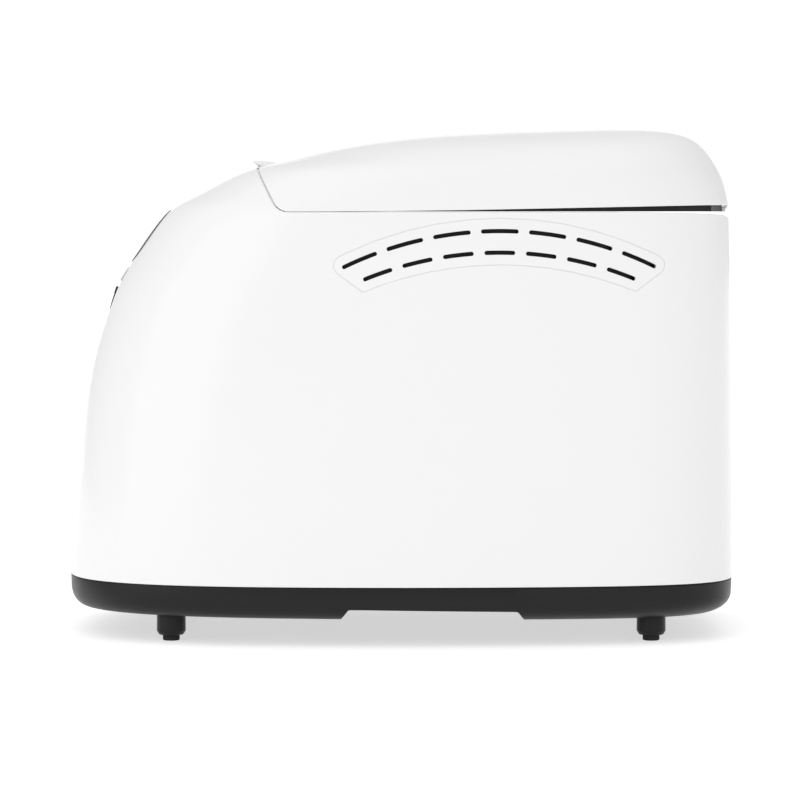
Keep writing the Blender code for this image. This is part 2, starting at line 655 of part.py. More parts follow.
def lid():
    """Lid shell, thumb handle, liner, edge frame and hinge arms, carried on the hinge axis."""
    shell = form_solid("lid_shell")
    shell.data.materials.append(material("white_plastic", *FINISHES["white_plastic"]))
    combine(shell, lid_region("lid_space", SEAM_GAP), "INTERSECT")
    hollow = form_solid("lid_hollow", WALL, 0.0, INNER_COLUMNS)
    combine(hollow, lid_region("lid_hollow_space", SEAM_GAP, WALL), "INTERSECT")
    combine(shell, hollow)
    cut_hinge_notches(shell, "hinge_notch", 0.014, (0, 0))
    pieces = [shell, lid_liner(), lid_frame(), lid_handle()]
    pieces += [hinge_arm(side, label) for side, label in SIDES]
    carry(axis_empty("lid_hinge", (0, HINGE_Y, HINGE_Z)), *pieces)


def inside_lid(name):
    """Space inside the lid shell, clear of its walls."""
    space = form_solid(name, WALL + GAP, 0.0, INNER_COLUMNS)
    region = lid_region(name + "_region", SEAM_GAP, WALL + GAP)
    return combine(space, region, "INTERSECT")


def lid_liner():
    """Pressed liner: a flange that follows the lid and a raised bay over the oven mouth."""
    flange = at_oven(rounded_rectangle(*LINER_FLANGE, 0.02))
    bay = at_oven(rounded_rectangle(*LINER_BAY, BAY_RADIUS))
    inside = at_oven(rounded_rectangle(*(s - 2 * LINER_SHEET for s in LINER_BAY),
                                       BAY_RADIUS - LINER_SHEET))
    liner = loft("lid_liner", [
        ring_at(bay, LINER_HIGH + LINER_SHEET), ring_at(bay, LINER_LOW + LINER_SHEET),
        ring_at(flange, LINER_LOW + LINER_SHEET), ring_at(flange, LINER_LOW),
        ring_at(inside, LINER_LOW), ring_at(inside, LINER_HIGH)], "oven_lining")
    combine(liner, inside_lid("liner_fit"), "INTERSECT")
    cut_hinge_notches(liner, "liner_notch", 0.044, (-0.008, 0.001))
    return liner


def lid_frame():
    """Dark frame under the liner's edge that closes the view into the gap below the lid."""
    half, rear = HALF_WIDTH + BEYOND, HALF_DEPTH + BEYOND
    blank = [(-half, FRAME_FRONT_Y), (half, FRAME_FRONT_Y), (half, rear), (-half, rear)]
    frame = prism("lid_edge_frame", blank, FRAME_LOW, LINER_LOW - GAP, "charcoal_plastic")
    combine(frame, inside_lid("frame_fit"), "INTERSECT")
    opening = [(x, y + FRAME_OPENING_Y)
               for x, y in rounded_rectangle(*FRAME_OPENING, FRAME_OPENING_RADIUS)]
    combine(frame, prism("frame_opening", opening, FRAME_LOW - 0.01, LINER_LOW + 0.01))
    cut_hinge_notches(frame, "frame_notch", 0.044, (-0.008, 0.0))
    return frame


def lid_handle():
    """Thumb lip on the lid's front edge, flared up and forward."""
    half, count = 0.034, 12
    section = ((-0.0807, 0.2551), (-0.0787, 0.2555), (-0.0730, 0.2550), (-0.0670, 0.2545),
               (-0.0668, 0.2520), (-0.0765, 0.2500), (-0.0772, 0.2518), (-0.0795, 0.2534))
    rings = []
    for k in range(count + 1):
        t = -1 + 2 * k / count
        fall, pull = 0.0006 * t ** 4, 0.0040 * abs(t) ** 5
        rings.append([(half * t, y + pull * (y < -0.07), z - fall) for y, z in section])
    handle = loft("lid_handle", rings, "white_plastic")
    return combine(handle, form_solid("handle_seat", -GAP))


def hinge_arm(side, label):
    """Barrel on the hinge axis with a strap that reaches into the lid."""
    half = BARREL_LENGTH / 2
    turn = [math.radians(a) for a in range(70, -200, -30)]
    outline = [(BARREL_RADIUS * math.cos(a), BARREL_RADIUS * math.sin(a)) for a in turn]
    outline += [(-0.006, -0.0008), (-0.026, 0.0004), (-0.026, 0.0026), (-0.006, 0.0026)]
    arm = side_prism("hinge_arm_" + label, outline, -half, half, "white_plastic")
    bore = hole_cutter("arm_bore_" + label, PIN_RADIUS + GAP, -0.01, 0.01)
    combine(arm, place(bore, (side * HINGE_X, HINGE_Y, HINGE_Z), (1, 0, 0)))
    return place(arm, (side * HINGE_X, HINGE_Y, HINGE_Z))


def hinge_brackets():
    """Two-eared brackets on the deck, each with a steel pin through it."""
    for side, label in SIDES:
        inner = BARREL_LENGTH / 2 + GAP
        outer = inner + EAR_THICKNESS
        turn = [math.radians(a) for a in range(120, -61, -30)]
        ear = [(BARREL_RADIUS * math.cos(a), BARREL_RADIUS * math.sin(a)) for a in turn]
        floor = DECK_Z + 0.0001 - HINGE_Z
        ear += [(0.0014, floor), (-0.022, floor + GAP), (-0.022, floor + 0.0018),
                (-0.008, floor + 0.0018)]
        bracket = side_prism("hinge_bracket_" + label, ear, -outer, outer, "white_plastic")
        spot = Vector((side * HINGE_X, HINGE_Y, HINGE_Z))
        gap_box = box("ear_gap_" + label, (2 * inner, 0.0190, 0.012), None)
        combine(bracket, place(gap_box, spot - Vector((0, 0.0010, 0))))
        bore = hole_cutter("ear_bore_" + label, PIN_RADIUS + GAP, -0.02, 0.02)
        combine(bracket, place(bore, spot, (1, 0, 0)))
        place(bracket, spot)
        pin = turned("hinge_pin_" + label, [(0, -outer), (PIN_RADIUS, -outer),
                                            (PIN_RADIUS, outer)], "steel_wire", 12)
        place(pin, spot, (1, 0, 0))


# ---------------------------------------------------------------- control panel
def panel_outline(margin):
    """Panel shape in its own plane: wide at the top, narrowing a little downwards."""
    wide, low, high = PANEL_HALF_WIDTH + margin, PANEL_LOW - margin, PANEL_HIGH + margin
    narrow = wide - 0.004
    return filleted([(-narrow, low), (narrow, low), (wide, high), (-wide, high)],
                    PANEL_RADIUS, 6)


def window_outline(margin):
    """Display window's shape in the panel's plane."""
    width, height = (s + 2 * margin for s in WINDOW_SIZE)
    return [(x, y + WINDOW_ROW) for x, y in rounded_rectangle(width, height, WINDOW_RADIUS, 2)]


def panel_prism(name, outline, slot=None):
    """Extrude an outline of the panel's plane along the panel's normal."""
    return place(prism(name, outline, -0.012, 0.012, slot), PANEL_CENTRE, PANEL_NORMAL)


def key_points(tree):
    """Where the keys' axes meet the form, from left to right."""
    frame = upright_frame(PANEL_NORMAL)
    for k in range(KEY_COUNT):
        local = Vector(((k - (KEY_COUNT - 1) / 2) * KEY_PITCH, KEY_ROW, 0.03))
        yield front_hit(tree, PANEL_CENTRE + frame @ local, -PANEL_NORMAL)


def control_panel(tree, start_place):
    """Gloss fascia, display window, keys and the round start button with its trim ring."""
    panel = panel_prism("control_panel", panel_outline(0), "panel_gloss")
    skin_patch(panel, form_solid("panel_face", -PANEL_PROUD), form_solid("panel_back", 0.0010, 0.01))
    combine(panel, panel_prism("window_opening", window_outline(GAP)))
    window = panel_prism("display_window", window_outline(0), "display_glass")
    skin_patch(window, form_solid("window_face", 0.0002 - PANEL_PROUD),
               form_solid("window_back", 0.0009, 0.01))
    for name, point in zip(KEY_NAMES, key_points(tree)):
        key = turned(name, [
            (0, -KEY_DEPTH), (KEY_RADIUS, -KEY_DEPTH), (KEY_RADIUS, KEY_PROUD - 0.0003),
            (KEY_RADIUS - 0.0005, KEY_PROUD + 0.0003)], "key_plastic", 16)
        place(key, point, PANEL_NORMAL)
    start_button(start_place)


def start_button(spot):
    """Round button that leans forward at its top, where its ridge passes through the trim ring."""
    ring = turned("start_button_ring", [
        (TRIM_INNER, -0.0026), (TRIM_OUTER, -0.0026), (TRIM_OUTER, TRIM_PROUD - 0.0004),
        (TRIM_OUTER - 0.0004, TRIM_PROUD), (TRIM_INNER, TRIM_PROUD)], "button_trim", 28)
    button = turned("start_stop_button", [
        (0, -0.0070), (START_RADIUS, -0.0070), (START_RADIUS, START_PROUD - 0.0005),
        (START_RADIUS - 0.0006, START_PROUD), (START_RADIUS - 0.0040, START_PROUD + 0.0001)],
        "start_button", 28)
    for piece in (ring, button):
        place(piece, spot, START_NORMAL)
    ridge = button_block("start_ridge", RIDGE_HALF_WIDTH, (RIDGE_LOW, TRIM_OUTER - 0.0002),
                         (RIDGE_ROOT, RIDGE_PROUD), spot)
    combine(button, ridge, "UNION")
    gap = button_block("ring_gap", RIDGE_HALF_WIDTH + GAP, (0.0, TRIM_OUTER + 0.002),
                       (RIDGE_ROOT - PRESS_TRAVEL - GAP, 0.01), spot)
    combine(ring, gap)


def button_block(name, half, edges, heights, spot):
    """Block on the start button's axes: half width, lower and upper edge, inner and outer face."""
    low, high = edges
    block = prism(name, [(-half, low), (half, low), (half, high), (-half, high)], *heights)
    return place(block, spot, START_NORMAL)


def electronics():
    """Display board behind the panel, buzzer, power board, transformer and capacitor."""
    frame = upright_frame(PANEL_NORMAL)
    board = box("control_board", (0.092, 0.046, 0.0016), "board_green")
    place(board, PANEL_CENTRE - PANEL_NORMAL * 0.0130, PANEL_NORMAL)
    buzzer = turned("buzzer", [(0, 0), (0.006, 0), (0.006, 0.008), (0.002, 0.008)],
                    "component_black", 16)
    place(buzzer, PANEL_CENTRE - PANEL_NORMAL * 0.0141 + frame @ Vector((0.030, 0.010, 0)),
          -PANEL_NORMAL)
    thickness, block = 0.0016, (0.030, 0.034, 0.028)
    power = box("power_board", (thickness, 0.080, 0.070), "board_green")
    place(power, POWER_BOARD)
    transformer = box("power_transformer", block, "component_black", 0.002)
    offset = Vector(((thickness + block[0]) / 2 + GAP, 0, 0.004))
    place(transformer, Vector(POWER_BOARD) + offset)
    capacitor = turned("run_capacitor", [(0, -0.024), (0.013, -0.024), (0.0145, -0.0225),
                                         (0.0145, 0.0225), (0.013, 0.024)], "component_black", 20)
    place(capacitor, (0.068, -0.088, CHASSIS_Z + 0.0455))


def power_inlet():
    """Mains inlet set into the rear wall: a block with a socket open to the rear."""
    rim_size = (s + 0.004 for s in INLET_SIZE)
    block = prism("power_inlet", rounded_rectangle(*INLET_SIZE, 0.003, 2), -INLET_DEPTH, 0,
                  "component_black")
    rim = prism("inlet_rim", rounded_rectangle(*rim_size, 0.004, 2), -INLET_DEPTH,
                -INLET_DEPTH + 0.002)
    socket = prism("inlet_socket", rounded_rectangle(*SOCKET_SIZE, 0.004, 2),
                   -INLET_DEPTH + 0.004, 0.01)
    for piece in (block, rim, socket):
        place(piece, (INLET_X, INLET_Y + 0.0012, INLET_Z), (0, 1, 0))
    combine(block, rim, "UNION")
    combine(block, socket)


# ---------------------------------------------------------------- oven, pan and drive
def chamber_liner():
    """Sheet metal oven chamber with a top flange, open upwards."""
    width, depth = CHAMBER_SIZE
    outer = at_oven(rounded_rectangle(width + 2 * SHEET, depth + 2 * SHEET, CHAMBER_RADIUS + SHEET))
    inner = at_oven(rounded_rectangle(width, depth, CHAMBER_RADIUS))
    flange = at_oven(rounded_rectangle(width + 0.016, depth + 0.016, CHAMBER_RADIUS + 0.008))
    top = DECK_Z - DECK_THICKNESS - GAP
    rings = [ring_at(outer, CHAMBER_FLOOR), ring_at(outer, top - SHEET), ring_at(flange, top - SHEET),
             ring_at(flange, top), ring_at(inner, top), ring_at(inner, CHAMBER_FLOOR + SHEET)]
    liner = loft("chamber_liner", rings, "oven_lining")
    front = OVEN_Y - depth / 2
    holes = [("shaft_clearance", 0.0065, (0, OVEN_Y, CHAMBER_FLOOR), (0, 0, 1)),
             ("sensor_clearance", 0.0030, (0, front, PROBE_Z), (0, 1, 0))]
    holes += [("terminal_clearance_" + label, 0.0040, (side * TERMINAL_X, front, HEATER_Z),
               (0, 1, 0)) for side, label in SIDES]
    for name, radius, where, direction in holes:
        combine(liner, place(hole_cutter(name, radius, -0.005, 0.005), where, direction))
    return liner


def heating_element():
    """Sheathed heater: a loop round the foot of the pan with both ends out through the front."""
    half_width, half_depth = HEATER_HALF
    front, rear, outside = OVEN_Y - half_depth, OVEN_Y + half_depth, OVEN_Y - half_depth - 0.020
    corners = [(TERMINAL_X, outside), (TERMINAL_X, front), (half_width, front), (half_width, rear),
               (-half_width, rear), (-half_width, front), (-TERMINAL_X, front),
               (-TERMINAL_X, outside)]
    path = bent_path(corners, (0.006, 0.026, 0.026, 0.026, 0.026, 0.006))
    wire("heating_element", path, HEATER_Z, HEATER_RADIUS, "heater_sheath")


def chamber_fittings():
    """Temperature probe through the chamber's front wall and a thermal fuse on its outside."""
    wall = OVEN_Y - CHAMBER_SIZE[1] / 2 - SHEET
    probe = turned("temperature_sensor", [(0, -0.012), (0.0045, -0.012), (0.0045, -0.0005),
                                          (0.0024, -0.0005), (0.0024, 0.009)], "steel_wire", 12)
    place(probe, (0, wall, PROBE_Z), (0, 1, 0))
    fuse = turned("thermal_fuse", [(0, -0.008), (0.0022, -0.008), (0.0022, 0.008)], "steel_wire", 10)
    place(fuse, (FUSE_PLACE[0], wall - 0.0028, FUSE_PLACE[1]), (1, 0, 0))


def bread_pan():
    """Coated pan with drafted walls, a rolled rim and an ear for the bail on each side."""
    width, depth = PAN_SIZE
    draft, rim = 0.0025, 0.0028

    def ring(grow, z, radius):
        return ring_at(rounded_rectangle(width + 2 * grow, depth + 2 * grow, radius), z)

    rings = [ring(-draft - 0.004, PAN_BOTTOM, 0.024), ring(-draft, PAN_BOTTOM + 0.005, PAN_RADIUS),
             ring(0, PAN_TOP - 0.003, PAN_RADIUS), ring(rim, PAN_TOP - 0.003, PAN_RADIUS + rim),
             ring(rim, PAN_TOP, PAN_RADIUS + rim), ring(-PAN_WALL, PAN_TOP, PAN_RADIUS),
             ring(-draft - PAN_WALL, PAN_BOTTOM + 0.006, PAN_RADIUS),
             ring(-draft - 0.005, PAN_BOTTOM + PAN_WALL, 0.024)]
    pan = loft("bread_pan", rings, "pan_coating")
    for side, label in SIDES:
        ear = side_prism("bail_ear_" + label, filleted(
            [(-0.007, -0.012), (0.007, -0.012), (0.006, 0.0075), (-0.006, 0.0075)], 0.003, 2),
            -0.0007, 0.0007)
        combine(pan, place(ear, (side * (width / 2 + rim - 0.0007), OVEN_Y, BAIL_Z)), "UNION")
        hole = hole_cutter("bail_hole_" + label, BAIL_RADIUS + 0.0004, -0.006, 0.006)
        combine(pan, place(hole, (side * (width / 2 + 0.003), OVEN_Y, BAIL_Z), (1, 0, 0)))
    hole = hole_cutter("pan_shaft_hole", SHAFT_RADIUS + GAP, 0.06, 0.08, 16)
    combine(pan, place(hole, (0, OVEN_Y, 0)))
    return place(pan, (0, OVEN_Y, 0))


def pan_handle():
    """Wire bail that lies forward on the rim, with its ends turned in through the ears."""
    side, turned_in = PAN_SIZE[0] / 2 + 0.0062, 0.0068
    corners = [(side - turned_in, 0), (side, 0), (side, -BAIL_REACH), (-side, -BAIL_REACH),
               (-side, 0), (-side + turned_in, 0)]
    bail = wire("pan_handle", bent_path(corners, (0.0028, 0.022, 0.022, 0.0028)), 0, BAIL_RADIUS,
                "steel_wire")
    place(bail, (0, OVEN_Y, BAIL_Z))


def pan_drive():
    """Foot ring under the pan, shaft seal, shaft with its wing, and the kneading paddle."""
    floor = CHAMBER_FLOOR + SHEET + GAP
    ring = turned("pan_foot_ring", [(0.040, floor), (0.0445, floor), (0.0445, PAN_BOTTOM - GAP),
                                    (0.034, PAN_BOTTOM - GAP), (0.034, PAN_BOTTOM - 0.002),
                                    (0.040, PAN_BOTTOM - 0.0035)], "steel_sheet", 28)
    place(ring, (0, OVEN_Y, 0))
    seal = turned("pan_shaft_seal", [
        (SHAFT_RADIUS + GAP, PAN_BOTTOM - 0.0022), (0.0085, PAN_BOTTOM - 0.0022),
        (0.0085, PAN_BOTTOM - GAP), (SHAFT_RADIUS + GAP, PAN_BOTTOM - GAP)], "seal_rubber", 16)
    place(seal, (0, OVEN_Y, 0))
    shaft = turned("pan_shaft", [(0, 0.0625), (SHAFT_RADIUS, 0.0625), (SHAFT_RADIUS, 0.0930)],
                   "steel_wire", 16)
    wing = box("shaft_wing", (0.018, 0.0045, 0.0050), None)
    combine(shaft, place(wing, (0, OVEN_Y, 0.0655)), "UNION")
    place(shaft, (0, OVEN_Y, 0))
    low = PAN_BOTTOM + PAN_WALL + 0.0008
    paddle = turned("kneading_paddle", [
        (SHAFT_RADIUS + GAP, low), (0.0095, low), (0.0085, low + 0.020),
        (SHAFT_RADIUS + GAP, low + 0.020)], "pan_coating", 20)
    blade_side = [(0.0065, 0.0), (0.040, 0.0), (0.043, 0.004), (0.036, 0.016), (0.0065, 0.018)]
    blade = loft("paddle_blade", [[(x, t, z) for x, z in blade_side] for t in (-0.0016, 0.0016)], None)
    place(blade, (0, OVEN_Y, low + 0.0006))
    combine(paddle, blade, "UNION")
    place(paddle, (0, OVEN_Y, 0))


def belt_loop(radius_a, radius_b, thickness):
    """Outline round two wheels on the Y axis: the large one at the oven, the small at the motor."""
    span = OVEN_Y - MOTOR_Y
    tilt = math.asin((radius_a - radius_b) / span)
    points = []
    wraps = ((radius_a + thickness, OVEN_Y, -tilt, math.pi + 2 * tilt, 16),
             (radius_b + thickness, MOTOR_Y, math.pi + tilt, math.pi - 2 * tilt, 8))
    for radius, y, start, sweep, steps in wraps:
        turns = [start + sweep * k / steps for k in range(steps + 1)]
        points += [(radius * math.cos(a), y + radius * math.sin(a)) for a in turns]
    return points


def grooved_wheel(name, radius, hub, segments):
    """Pulley with a rim, a groove for the belt, a thin web and a hub."""
    low, high = PULLEY_Z, PULLEY_Z + PULLEY_HEIGHT
    middle, half = (low + high) / 2, BELT_WIDTH / 2 + 0.0006
    groove, rim = radius - GAP, radius + PULLEY_FLANGE
    return turned(name, [
        (hub, low), (rim, low), (rim, low + 0.0010), (groove, middle - half),
        (groove, middle + half), (rim, high - 0.0010), (rim, high), (hub, high)],
        "pulley_plastic", segments)


def drive_train():
    """Large pulley, main shaft and dog coupling; motor pulley and shaft; belt; bearing."""
    large = grooved_wheel("large_pulley", LARGE_PULLEY_RADIUS, SHAFT_RADIUS + GAP, 28)
    place(large, (0, OVEN_Y, 0))
    shaft = turned("main_shaft", [(0, SHAFT_FOOT), (SHAFT_RADIUS, SHAFT_FOOT),
                                  (SHAFT_RADIUS, 0.0600)], "steel_wire", 16)
    place(shaft, (0, OVEN_Y, 0))
    coupling = turned("drive_coupling", [(0, 0.0603), (0.0125, 0.0603), (0.0125, 0.0621)],
                      "steel_sheet", 20)
    for side, label in SIDES:
        dog = hole_cutter("coupling_dog_" + label, 0.0024, 0.0612, 0.0690, 10)
        combine(coupling, place(dog, (side * 0.0060, OVEN_Y + side * 0.0052, 0)), "UNION")
    place(coupling, (0, OVEN_Y, 0))
    small = grooved_wheel("motor_pulley", MOTOR_PULLEY_RADIUS, MOTOR_SHAFT_RADIUS + GAP, 16)
    place(small, (0, MOTOR_Y, 0))
    spindle = turned("motor_shaft", [
        (0, SHAFT_FOOT), (MOTOR_SHAFT_RADIUS, SHAFT_FOOT), (MOTOR_SHAFT_RADIUS, 0.0480)],
        "steel_wire", 12)
    place(spindle, (0, MOTOR_Y, 0))
    middle = PULLEY_Z + PULLEY_HEIGHT / 2
    outer = belt_loop(LARGE_PULLEY_RADIUS, MOTOR_PULLEY_RADIUS, BELT_THICKNESS)
    inner = belt_loop(LARGE_PULLEY_RADIUS, MOTOR_PULLEY_RADIUS, 0.0002)
    levels = (middle - BELT_WIDTH / 2, middle + BELT_WIDTH / 2)
    loft("drive_belt", [ring_at(outer, levels[0]), ring_at(outer, levels[1]),
                        ring_at(inner, levels[1]), ring_at(inner, levels[0])],
         "belt_rubber", closed_loop=True)
    bore = SHAFT_RADIUS + GAP
    top = CHASSIS_Z + CHASSIS_THICKNESS + GAP
    bearing = turned("shaft_bearing", [
        (bore, top), (0.020, top), (0.020, top + 0.002), (0.0095, top + 0.0035),
        (0.0095, CHAMBER_FLOOR - 0.0006), (bore, CHAMBER_FLOOR - 0.0006)], "steel_sheet", 20)
    place(bearing, (0, OVEN_Y, 0))


def chassis_plate():
    """Steel plate on four posts that carries the bearing, the chamber and the motor."""
    outline = [(x, y + 0.004) for x, y in rounded_rectangle(0.176, 0.240, 0.020, 3)]
    plate = prism("chassis_plate", outline, CHASSIS_Z, CHASSIS_Z + CHASSIS_THICKNESS, "steel_sheet")
    for name, x, y in screw_places():
        post = turned("chassis_post_" + name, [
            (0, tray_floor(y) + WALL + GAP), (0.0045, tray_floor(y) + WALL + GAP),
            (0.0045, CHASSIS_Z + 0.0006)], None, 12)
        combine(plate, place(post, (x, y, 0)), "UNION")
        bore = hole_cutter("post_bore_" + name, 0.0019, 0.010, 0.031, 10)
        combine(plate, place(bore, (x, y, 0)))
    for name, y, radius in (("shaft_window", OVEN_Y, 0.0070), ("motor_window", MOTOR_Y, 0.0060)):
        combine(plate, place(hole_cutter(name, radius, 0.03, 0.05, 16), (0, y, 0)))
    return plate


def motor():
    """Drive motor: laminated core between two end caps, with the shaft pointing down."""
    base = CHASSIS_Z + CHASSIS_THICKNESS + GAP
    cap_low = turned("motor_lower_cap", [
        (0.0036, base), (0.024, base), (0.030, base + 0.006), (0.030, base + 0.018),
        (0.0036, base + 0.018)], "motor_steel", 24)
    core = prism("motor_core", rounded_rectangle(0.070, 0.070, 0.010, 2), base + 0.0183,
                 base + 0.0500, "steel_sheet")
    cap_high = turned("motor_upper_cap", [
        (0, base + 0.0503), (0.030, base + 0.0503), (0.030, base + 0.060), (0.022, base + 0.066),
        (0.008, base + 0.067)], "motor_steel", 24)
    for piece in (cap_low, core, cap_high):
        place(piece, (0, MOTOR_Y, 0))


def clear_scene():
    for existing in list(bpy.data.objects):
        bpy.data.objects.remove(existing, do_unlink=True)


def main():
    clear_scene()
    skin = as_cutter(form_solid("shell_face"))
    back = as_cutter(form_solid("patch_back", 0.0022, 0.01))
    mesh = skin.data
    tree = BVHTree.FromPolygons([v.co for v in mesh.vertices], [p.vertices for p in mesh.polygons])
    start_place = front_hit(tree, (0, -0.25, START_Z), (0, 1, 0)) + START_NORMAL * START_LIFT
    pocket = panel_prism("panel_pocket", panel_outline(GAP))
    combine(pocket, form_solid("pocket_floor", 0.0013, 0.01))
    base_tray()
    feet_and_screws()
    outer_housing(tree, pocket, start_place)
    vent_panels(skin, back)
    lid()
    hinge_brackets()
    control_panel(tree, start_place)
    electronics()
    power_inlet()
    chamber_liner()
    heating_element()
    chamber_fittings()
    bread_pan()
    pan_handle()
    pan_drive()
    drive_train()
    chassis_plate()
    motor()


main()
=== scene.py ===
"""Looks of the countertop bread machine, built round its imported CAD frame. Metres, +Z up, front at -Y."""
import json
import math

import bmesh
import bpy
import numpy as np
from mathutils import Matrix, Vector
from mathutils.bvhtree import BVHTree
from mathutils.geometry import delaunay_2d_cdt


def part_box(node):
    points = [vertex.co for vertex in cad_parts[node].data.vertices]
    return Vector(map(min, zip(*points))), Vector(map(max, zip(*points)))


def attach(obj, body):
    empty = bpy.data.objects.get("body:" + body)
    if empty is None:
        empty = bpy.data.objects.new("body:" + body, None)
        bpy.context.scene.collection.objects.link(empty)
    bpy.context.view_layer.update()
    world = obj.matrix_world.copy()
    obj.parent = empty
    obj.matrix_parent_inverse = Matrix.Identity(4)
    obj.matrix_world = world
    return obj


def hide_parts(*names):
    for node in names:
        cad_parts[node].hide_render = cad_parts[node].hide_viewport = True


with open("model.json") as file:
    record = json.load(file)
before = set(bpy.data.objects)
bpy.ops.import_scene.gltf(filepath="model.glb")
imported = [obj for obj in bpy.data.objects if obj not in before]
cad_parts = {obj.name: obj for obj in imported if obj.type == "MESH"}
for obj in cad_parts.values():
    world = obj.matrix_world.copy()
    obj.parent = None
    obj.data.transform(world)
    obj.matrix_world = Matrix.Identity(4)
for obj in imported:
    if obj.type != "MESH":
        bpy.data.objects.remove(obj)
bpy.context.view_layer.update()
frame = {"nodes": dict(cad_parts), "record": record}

# ---------------------------------------------------------------- dimensions shared with the CAD
_, TRAY_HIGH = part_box("base_tray")
SHELL_LOW, SHELL_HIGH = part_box("outer_housing")
SHELL_BOTTOM = SHELL_LOW.z
HALF_WIDTH, HALF_DEPTH = SHELL_HIGH.x, SHELL_HIGH.y
FORM_STATIONS = (
    # front y, front z, rear y, rear z, half width, in millimetres
    (-180.0, 31.6, 180.0, 31.6, 116.0),
    (-178.3, 64.0, 179.8, 64.0, 115.7),
    (-175.7, 90.0, 179.5, 90.0, 115.3),
    (-172.3, 116.0, 179.2, 116.0, 114.9),
    (-165.6, 150.0, 178.7, 150.0, 114.4),
    (-154.0, 185.0, 178.1, 185.0, 113.7),
    (-144.1, 203.0, 177.7, 203.0, 113.2),
    (-128.0, 225.0, 177.0, 227.5, 112.2),
    (-110.5, 236.2, 176.2, 234.5, 111.2),
    (-93.5, 245.2, 174.4, 241.5, 109.4),
    (-79.0, 251.0, 171.2, 249.5, 106.0),
    (-60.5, 255.3, 165.6, 258.6, 99.0),
    (-37.0, 261.0, 157.4, 266.2, 88.0),
    (-8.0, 265.8, 145.0, 270.2, 71.0),
    (28.0, 269.3, 122.0, 272.0, 43.0),
    (75.0, 271.7, 75.0, 271.7, 0.0),
)
PLAN_TAPER, PLAN_FRONT, PLAN_REAR = 0.155, (4.8, 3.2), (7.0, 5.0)
TRAY_BOTTOM, TRAY_LEAN, TRAY_EDGE_SKEW, RECESS_ROOF = 0.0138, 0.0062, 0.35, (0.0198, 0.0185)
RECESS_ENDS = (0.061, 0.125)  # how far in the finger recess starts, and past the side
WALL, GAP = 0.0025, 0.0003    # thickness of the shell; clearance round an inserted piece
SEAM_TOP, SEAM_HEEL, SEAM_BEND = (-0.0840, 0.2642), (-0.0640, 0.2274), 0.0042
SEAM_GAP = 0.0008
DECK_EDGE = ((-0.20, 0.2273), (0.124, 0.2272), (0.145, 0.2267), (0.164, 0.2261), (0.172, 0.2256),
             (0.176, 0.2242), (0.1785, 0.2222), (0.20, 0.2222))
LID_EDGE = ((-0.20, 0.22744), (-0.040, 0.22746), (-0.005, 0.2277), (0.035, 0.2282),
            (0.085, 0.2292), (0.125, 0.2300), (0.164, 0.2308), (0.20, 0.2310))
HINGE_X, HINGE_Z = 0.046, 0.2310
NOTCH_HALF, NOTCH_TOP = 0.0108, 0.0037
ROLL = 0.00045                # rounding of the moulded edges
BAND_ROLL, HOLE_ROLL = ROLL * 0.7, ROLL * 0.4
LIP_DEPTH = 0.0022            # how far a rolled edge of the shell turns inwards
GROOVE = 0.0004               # depth of the groove round a vent insert
VENT_RADIUS, VENT_Y, VENT_TILT = 0.186, 0.0520, 0.0016
BAND_TOP, BAND_BOTTOM, BAND_TIP_ANGLE, BAND_FOOT_ANGLE = 0.2238, 0.1999, 29.2, 22.5
BAND_TIP_RADIUS, BAND_FOOT_RADIUS = 0.0050, 0.0025
VENT_ROWS = ((0.2173, 7.71, 0.0196), (0.2061, 6.66, 0.0160))
SLOT_WIDTH, SLOTS_PER_ROW = 0.0022, 7
SHADE_SHEET_DEPTH, SHADE_SHEET_MARGIN = 0.0055, 0.0015  # dark sheet behind the slots: painted shade seen through the openings
OVEN_Y, MOUTH_SIZE, MOUTH_RADIUS = 0.055, (0.180, 0.152), 0.034
DECK_DROP = 0.0001            # how far the deck lies under the shell's rim
PANEL_CENTRE = Vector((0.0, -0.1406, 0.2076))
PANEL_NORMAL = Vector((0.0, -0.833, 0.553)).normalized()
PANEL_HALF_WIDTH, PANEL_LOW, PANEL_HIGH, PANEL_RADIUS = 0.044, -0.0090, 0.0262, 0.0165
PANEL_PROUD = 0.0005          # how far the fascia stands off the shell
KEY_COUNT, KEY_PITCH, KEY_ROW, KEY_RADIUS, KEY_PROUD = 5, 0.0165, -0.0162, 0.0042, 0.0005
KEY_PLACES = [((k - (KEY_COUNT - 1) / 2) * KEY_PITCH, KEY_ROW) for k in range(KEY_COUNT)]
KEY_NAMES = ("menu_button", "crust_button", "loaf_size_button", "timer_plus_button", "timer_minus_button")
WINDOW_SIZE, WINDOW_ROW, WINDOW_RADIUS = (0.056, 0.018), 0.0098, 0.003
START_NORMAL = Vector((0.0, -0.952, 0.306)).normalized()
START_Z, START_LIFT, START_RADIUS, START_PROUD = 0.1787, 0.0002, 0.0062, 0.0013
TRIM_INNER, TRIM_OUTER, TRIM_PROUD = 0.0066, 0.0078, 0.0009
RIDGE_HALF_WIDTH, RIDGE_LOW, RIDGE_ROOT, RIDGE_PROUD = 0.0026, 0.0034, -0.0002, 0.0017
FEET = [(x, y) for x in (-0.078, 0.078) for y in (-0.1215, 0.1335)]
FOOT_RADIUS, TIP_RADIUS, FOOT_TIP = 0.0077, 0.0045, 0.0030
SCREWS = [(x, y) for x in (-0.060, 0.060) for y in (-0.060, 0.110)]
ROWS, HALF_COLUMNS = 110, 130
CAMERA_PLACE, CAMERA_LENS, CAMERA_TIP = (2.035, 0.0027, 0.2282), 164.4, 3.017  # metres, mm, degrees
SKY_BACKDROP, SKY_FLAG, SKY_FILL, SKY_BOX, SKY_REAR, SKY_FRONT = 1.15, 0.75, 0.905, 0.80, -0.12, -0.20
SKY_TOP = 0.50
FLOOR_GLOW, FLOOR_REACH = 0.60, 14.0


